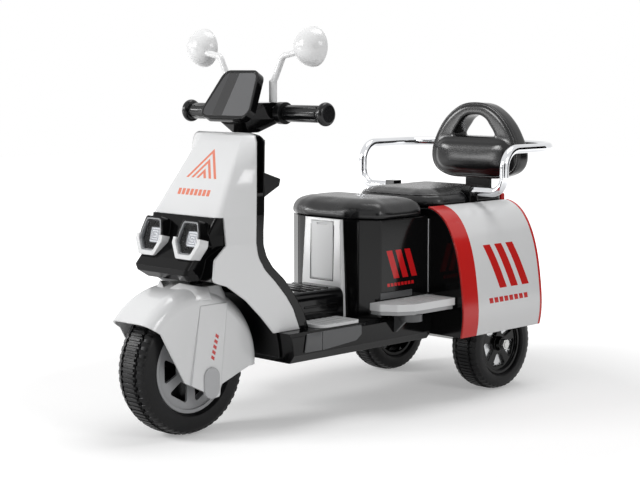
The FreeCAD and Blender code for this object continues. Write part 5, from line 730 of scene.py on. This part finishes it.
# Each box side carries a grey plate and a thin pale strip down its rear edge; the strip is a painted
# highlight on that edge.
PLATE_AND_HIGHLIGHT_SUNK, PLATE_AND_HIGHLIGHT_PROUD = 0.001, 0.0012
PLATE_X, PLATE_Z = (-0.098, -0.012), (0.1995, 0.2110)
EDGE_HIGHLIGHT_X, EDGE_HIGHLIGHT_Z = (0.0004, 0.0019), (0.200, 0.338)
box_low, box_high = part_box("seat_box")
for side, label in SIDES:
    inner, outer = sorted((side * (box_high.y - PLATE_AND_HIGHLIGHT_SUNK), side * (box_high.y + PLATE_AND_HIGHLIGHT_PROUD)))
    plate = cuboid("box_plate_" + label, (PLATE_X[0], inner, PLATE_Z[0]), (PLATE_X[1], outer, PLATE_Z[1]))
    round_edges(plate, width=0.0009, steps=3)
    finished(plate, sill_grey, "chassis")
    # Painted highlight: a pale grey strip down the rear edge of the side.
    edge_highlight = cuboid("box_edge_highlight_" + label, (box_low.x + EDGE_HIGHLIGHT_X[0], inner, EDGE_HIGHLIGHT_Z[0]),
                   (box_low.x + EDGE_HIGHLIGHT_X[1], outer, EDGE_HIGHLIGHT_Z[1]))
    round_edges(edge_highlight, width=0.0005)
    finished(edge_highlight, plug_grey, "chassis")
battery_case = moulded("battery_case_plastic", (0.05, 0.055, 0.07), roughness=0.4, grain_scale=700,
                       grain_depth=0.25, edge_lift=0.3)
dress(battery_case, "battery")
board_case = moulded("control_case_plastic", (0.02, 0.035, 0.025), roughness=0.45, grain_scale=700,
                     grain_depth=0.2)
dress(board_case, "control_board")
dress(satin_black, "charging_socket")


# Seats and backrest. Vacuum-formed black leatherette over foam, satin with a fine pebble grain and sewn
# welts, screwed to the box lid and the rear deck; the backrest pad sits on a painted steel bracket.
RUBBED_LEATHER = (0.0075, 0.0075, 0.008)


def leather(name, roughness, grain):
    """Black leatherette: pebble grain, fine creases and a drifting satin sheen."""
    material, tree, surface = shader(name)
    place = object_place(tree)
    cells = tree.nodes.new("ShaderNodeTexVoronoi")
    cells.feature = "DISTANCE_TO_EDGE"
    cells.inputs["Scale"].default_value = 620.0
    tree.links.new(place, cells.inputs["Vector"])
    cloud = noise(tree, place, 22.0, 4.0)
    creases = noise(tree, place, 90.0, 5.0, (1, 1, 2))
    pebbles = spread(tree, cells.outputs["Distance"], 0.0, 0.25, 0.0, 1.0)
    height = sum_of(tree, "ADD", pebbles, sum_of(tree, "MULTIPLY", creases, 0.25))
    tree.links.new(bumped(tree, height, 0.0004, grain).outputs[0], surface["Normal"])
    tone = spread(tree, cloud, 0.3, 0.75, 0.0, 1.0)
    colour = blend_colour(tree, tone, (*RUBBER_BLACK, 1), (*RUBBED_LEATHER, 1))
    tree.links.new(colour, surface["Base Color"])
    tree.links.new(spread(tree, cloud, 0.3, 0.75, roughness, roughness + 0.04), surface["Roughness"])
    surface["Specular IOR Level"].default_value = 0.42
    return material


leatherette = leather("black_leatherette", roughness=0.25, grain=0.06)
glossy_leatherette = leather("glossy_leatherette", roughness=0.20, grain=0.015)
SWELL_FRAMES = 20
SWELL_PRESSURE = 4.0


def smoothed(piece, iterations):
    """Evens out the active piece's mesh."""
    even = piece.modifiers.new("even", "SMOOTH")
    even.factor = 0.5
    even.iterations = iterations
    bpy.ops.object.modifier_apply(modifier=even.name)


def stuffed(node, name, voxel, cap, soften, material, held):
    """A pad in place of its CAD solid: its form remeshed, swelled as cloth over foam, and smoothed."""
    pad = bpy.data.objects.new(name, nodes[node].data.copy())
    bpy.context.scene.collection.objects.link(pad)
    only(pad)
    bpy.ops.mesh.customdata_custom_splitnormals_clear()
    bpy.ops.object.mode_set(mode="EDIT")
    bpy.ops.mesh.select_all(action="SELECT")
    bpy.ops.mesh.remove_doubles(threshold=WELD_DISTANCE)
    bpy.ops.object.mode_set(mode="OBJECT")
    pad.data.remesh_voxel_size = voxel
    bpy.ops.object.voxel_remesh()
    smoothed(pad, iterations=9)
    rest = [vertex.co.copy() for vertex in pad.data.vertices]
    pins = pad.vertex_groups.new(name="held")
    pins.add([i for i, co in enumerate(rest) if held(co)], 1.0, "REPLACE")
    cloth = pad.modifiers.new("stuffing", "CLOTH")
    cloth.settings.quality = 4
    cloth.settings.vertex_group_mass = "held"
    cloth.settings.use_pressure = True
    cloth.settings.uniform_pressure_force = SWELL_PRESSURE
    cloth.settings.effector_weights.gravity = 0.0
    cloth.point_cache.frame_start = 1
    cloth.point_cache.frame_end = SWELL_FRAMES
    for step in range(1, SWELL_FRAMES + 1):
        bpy.context.scene.frame_set(step)
    swelled = pad.evaluated_get(bpy.context.evaluated_depsgraph_get()).data
    places = [vertex.co.copy() for vertex in swelled.vertices]
    pad.modifiers.remove(cloth)
    for vertex, start, end in zip(pad.data.vertices, rest, places):
        move = end - start
        vertex.co = start + move * min(1.0, cap / max(move.length, 1e-9))
    bpy.context.scene.frame_set(1)
    pad.vertex_groups.clear()
    smoothed(pad, iterations=soften)
    finer = pad.modifiers.new("finer", "SUBSURF")
    finer.levels = 1
    finer.render_levels = 1
    bpy.ops.object.modifier_apply(modifier=finer.name)
    bpy.ops.object.shade_smooth()
    finished(pad, material, "chassis")
    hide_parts(node)
    return pad


WELT_POINT_GAP = 0.005


def welt_round(pad, name, place, facing, radius, wanted):
    """A sewn welt along the line where a plane cuts the finished pad."""
    welt = bpy.data.objects.new(name, pad.data.copy())
    bpy.context.scene.collection.objects.link(welt)
    only(welt)
    bpy.ops.object.mode_set(mode="EDIT")
    bpy.ops.mesh.select_all(action="SELECT")
    bpy.ops.mesh.bisect(plane_co=place, plane_no=facing, clear_inner=True, clear_outer=True)
    bpy.ops.mesh.select_all(action="DESELECT")
    bpy.ops.object.mode_set(mode="OBJECT")
    for vertex in welt.data.vertices:
        vertex.select = not wanted(vertex.co)
    bpy.ops.object.mode_set(mode="EDIT")
    bpy.ops.mesh.delete(type="VERT")
    bpy.ops.mesh.select_all(action="SELECT")
    bpy.ops.mesh.remove_doubles(threshold=WELT_POINT_GAP)
    bpy.ops.object.mode_set(mode="OBJECT")
    smoothed(welt, iterations=5)
    bpy.ops.object.convert(target="CURVE")
    welt.data.bevel_depth = radius
    welt.data.bevel_resolution = 2
    bpy.ops.object.convert(target="MESH")
    bpy.ops.object.shade_smooth()
    finished(welt, glossy_leatherette, "chassis")


SEAT_HELD, REST_HELD = 0.004, 0.012
ARCH_FOOT_Z = 0.455
seat_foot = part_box("front_seat")[0].z
stuffed("front_seat", "front_seat_cushion", voxel=0.004, cap=0.0018, soften=14, material=leatherette,
        held=lambda co: co.z < seat_foot + SEAT_HELD)
pillion_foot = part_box("rear_seat")[0].z
pillion_pad = stuffed("rear_seat", "rear_seat_cushion", voxel=0.004, cap=0.0018, soften=12,
                      material=leatherette, held=lambda co: co.z < pillion_foot + SEAT_HELD)
rest_low, rest_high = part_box("backrest")
rest_pad = stuffed("backrest", "backrest_pad", voxel=0.003, cap=0.003, soften=14,
                   material=glossy_leatherette,
                   held=lambda co: co.x < rest_low.x + REST_HELD or co.z > ARCH_FOOT_Z)
dress(black_paint, "backrest_post")
HOLE_HALF, HOLE_HALF_HEIGHT, HOLE_Z = 0.066, 0.038, 0.490
REST_WELT_BACK, SEAT_WELT_UP = 0.0180, 0.021
welt_round(rest_pad, "backrest_welt", (rest_high.x - REST_WELT_BACK, 0, 0), (1, 0, 0), radius=0.0036,
           wanted=lambda co: (co.y / HOLE_HALF) ** 2 + ((co.z - HOLE_Z) / HOLE_HALF_HEIGHT) ** 2 > 1)
welt_round(pillion_pad, "rear_seat_welt", (0, 0, pillion_foot + SEAT_WELT_UP), (0, 0, 1), radius=0.0016,
           wanted=lambda co: True)

# Rear body. A black inner moulding with a deck and bulkheads between two barrel-shaped white side panels,
# each with a red front band, a thin red rear edge and printed red bars.
BAND_RED = (0.62, 0.020, 0.018)
BAND_FROM_X, EDGE_TO_X = -0.189, -0.3765
PANEL_BARS_X, PANEL_BARS_Z, PANEL_RULE_Z = -0.278, 0.246, 0.184


def panel_print(tree):
    """White with a red band and edge, and red bars over a short rule."""
    x, y, z = axes(tree)
    front_band = sum_of(tree, "GREATER_THAN", x, BAND_FROM_X)
    rear_edge = sum_of(tree, "LESS_THAN", x, EDGE_TO_X)
    along = sum_of(tree, "SUBTRACT", x, PANEL_BARS_X)
    marks = printed_bars(tree, along, sum_of(tree, "SUBTRACT", z, PANEL_BARS_Z), slant=-0.4,
                         pitch=0.034, share=0.62, half_width=0.050, half_height=0.041)
    rule = printed_bars(tree, along, sum_of(tree, "SUBTRACT", z, PANEL_RULE_Z), slant=-0.2, pitch=0.015,
                        share=0.75, half_width=0.060, half_height=0.005)
    ink = sum_of(tree, "MAXIMUM", marks, rule)
    painted = sum_of(tree, "MAXIMUM", sum_of(tree, "MAXIMUM", front_band, rear_edge), ink)
    return blend_colour(tree, painted, (*WHITE, 1), (*BAND_RED, 1))


panel_finish = moulded("banded_white_plastic", panel_print, roughness=0.17, grain_scale=1500,
                       grain_depth=0.03, edge=0.003, edge_lift=0.03, tone=0.03, drift=0.05,
                       specular=0.35)
dress(panel_finish, "side_panel_left", "side_panel_right")
dress(gloss_black, "rear_body")

# Rear steps. Two-layer silver-grey foot plates beside the seat box, on dark brackets with a brace and a
# round adjusting knob below.
STEP_UPPER = 0.0132
STEP_PALE, STEP_DULL = (0.74, 0.745, 0.75, 1), (0.34, 0.345, 0.35, 1)
step_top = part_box("rear_steps")[1].z


def step_layers(tree):
    """A pale upper layer over a duller lower one."""
    x, y, z = axes(tree)
    return blend_colour(tree, sum_of(tree, "GREATER_THAN", z, step_top - STEP_UPPER), STEP_DULL, STEP_PALE)


step_grey = moulded("step_grey_plastic", step_layers, roughness=0.22, grain_scale=1100,
                    grain_depth=0.06, edge=0.0018, edge_lift=0.15, coat=0.2)
dress(step_grey, "rear_steps")
dress(sill_grey, "step_brackets")

# Grab rail. Chromed steel tube bent round the pillion seat and behind the backrest, its ends pushed
# into sockets on the deck.
chrome = metal("bright_chrome", (0.74, 0.75, 0.77), roughness=0.03, stretch=(1, 1, 8), wear=0.03)
dress(chrome, "grab_rail")

# Tail light. A red moulded lens across the rear of the deck, clipped into the rear body.
# It shares the horn button's red plastic.
dress(red_plastic, "tail_light")

# Rear wheels. Smaller tyres on black spoked hubs with a perforated bright disc behind the spokes; both
# turn on one steel axle, and the right hub carries the driven gear.
for side, label in SIDES:
    tyre("rear_tyre_" + label, "rear_wheel_" + label, ribs=72, lugs=44,
         material_name=f"rear_{label}_rubber")
    dress(gloss_black, "rear_hub_" + label)
bright_disc = metal("brake_disc_steel", (0.66, 0.67, 0.68), roughness=0.2, stretch=(6, 1, 6))
dress(bright_disc, "brake_disc_left", "brake_disc_right")
dress(drawn_steel, "rear_axle")

# Drive. A steel motor can in the rear tray, its pinion and a nylon reduction gear turning in a split
# black cover that is screwed to the chassis.
dress(drawn_steel, "motor", "motor_pinion")
dress(nylon, "reduction_gear")
dress(satin_black, "gearbox_housing")

# Studio. A pale floor, a white surround, three soft lamps, cards that only reflections see, and the
# camera at the photograph's angle.
FLOOR_PALE = (0.82, 0.82, 0.82, 1)
FLOOR_NEAR, FLOOR_FAR = 0.6, 1.5
FLOOR_GLOW_NEAR, FLOOR_GLOW_FAR = 0.30, 1.0
SURROUND_LIT, SURROUND_SEEN = 0.26, 1.0
LAMP_AIM = Vector((0, 0, 0.3))
CAMERA_PLACE, CAMERA_FACING = (2.0094, 1.9611, 0.6154), Vector((-0.70606, -0.69933, -0.11142))
LENS_LENGTH, SENSOR_WIDTH = 86.24, 36


def seen(tree):
    """1 on camera, glossy and transmission rays, 0 on the others."""
    path = tree.nodes.new("ShaderNodeLightPath").outputs
    return sum_of(tree, "MAXIMUM", path["Is Camera Ray"], sum_of(
        tree, "MAXIMUM", path["Is Glossy Ray"], path["Is Transmission Ray"]))


bpy.ops.object.select_all(action="DESELECT")
bpy.ops.mesh.primitive_plane_add(size=14, location=(0, 0, 0))
floor = bpy.context.object
floor.name = "studio_floor"
pale = bpy.data.materials.new("pale_floor")
pale.use_nodes = True
tree = pale.node_tree
tree.nodes.clear()
matt = tree.nodes.new("ShaderNodeBsdfDiffuse")
matt.inputs["Color"].default_value = FLOOR_PALE
glow = tree.nodes.new("ShaderNodeEmission")
reach = vector_math(tree, "LENGTH", object_place(tree))
far = spread(tree, reach.outputs["Value"], FLOOR_NEAR, FLOOR_FAR, FLOOR_GLOW_NEAR, FLOOR_GLOW_FAR)
tree.links.new(sum_of(tree, "MULTIPLY", seen(tree), far), glow.inputs["Strength"])
both = tree.nodes.new("ShaderNodeAddShader")
tree.links.new(matt.outputs[0], both.inputs[0])
tree.links.new(glow.outputs[0], both.inputs[1])
tree.links.new(both.outputs[0], tree.nodes.new("ShaderNodeOutputMaterial").inputs["Surface"])
floor.data.materials.append(pale)

world = bpy.data.worlds.new("white_surround")
bpy.context.scene.world = world
world.use_nodes = True
tree = world.node_tree
tree.nodes.clear()
sky = tree.nodes.new("ShaderNodeBackground")
sky.inputs["Color"].default_value = (1, 1, 1, 1)
tree.links.new(spread(tree, seen(tree), 0.0, 1.0, SURROUND_LIT, SURROUND_SEEN), sky.inputs["Strength"])
tree.links.new(sky.outputs[0], tree.nodes.new("ShaderNodeOutputWorld").inputs["Surface"])


def soft_lamp(name, place, size, power):
    """Square area lamp aimed at the middle of the scooter."""
    light = bpy.data.lights.new(name, "AREA")
    light.size = size
    light.energy = power
    lamp = bpy.data.objects.new(name, light)
    bpy.context.scene.collection.objects.link(lamp)
    lamp.location = place
    lamp.rotation_euler = (LAMP_AIM - Vector(place)).to_track_quat("-Z", "Y").to_euler()


def studio_card(name, place, facing, width, height, glow):
    """Upright card that only reflections see: a bright panel, or a dark flag where glow is 0."""
    bpy.ops.object.select_all(action="DESELECT")
    bpy.ops.mesh.primitive_plane_add(size=1, location=place)
    card = bpy.context.object
    card.name = name
    card.scale = (width, height, 1)
    card.rotation_euler = Vector(facing).to_track_quat("Z", "Y").to_euler()
    bpy.ops.object.transform_apply(location=True, rotation=True, scale=True)
    panel = bpy.data.materials.new(name)
    panel.use_nodes = True
    tree = panel.node_tree
    tree.nodes.clear()
    light = tree.nodes.new("ShaderNodeEmission")
    light.inputs["Strength"].default_value = glow
    tree.links.new(light.outputs[0], tree.nodes.new("ShaderNodeOutputMaterial").inputs["Surface"])
    card.data.materials.append(panel)
    card.visible_camera = False
    card.visible_diffuse = False
    card.visible_transmission = False
    card.visible_shadow = False


studio_card("rear_flag", (2.6, 2.6, 0.95), (-1, -1, 0), width=2.2, height=1.7, glow=0.0)
studio_card("side_flag", (-2.4, 1.9, 0.8), (1, -0.8, 0), width=1.6, height=1.5, glow=0.0)
studio_card("bright_panel", (1.30, -2.25, 1.0), (-0.60, 0.79, -0.15), width=0.75, height=0.5, glow=17.0)
studio_card("low_panel", (2.15, -1.75, 0.24), (-0.72, 0.70, 0), width=0.9, height=0.36, glow=9.0)
soft_lamp("front_lamp", (2.5, -1.3, 1.5), size=0.9, power=46)
soft_lamp("side_lamp", (0.4, 2.7, 1.5), size=0.9, power=16)
soft_lamp("top_lamp", (-0.4, 0.2, 2.7), size=1.4, power=26)

eye = bpy.data.cameras.new("photo_camera")
eye.lens = LENS_LENGTH
eye.sensor_width = SENSOR_WIDTH
camera = bpy.data.objects.new("photo_camera", eye)
bpy.context.scene.collection.objects.link(camera)
camera.location = CAMERA_PLACE
camera.rotation_euler = CAMERA_FACING.to_track_quat("-Z", "Y").to_euler()
bpy.context.scene.camera = camera
bpy.context.scene.view_settings.view_transform = "Standard"
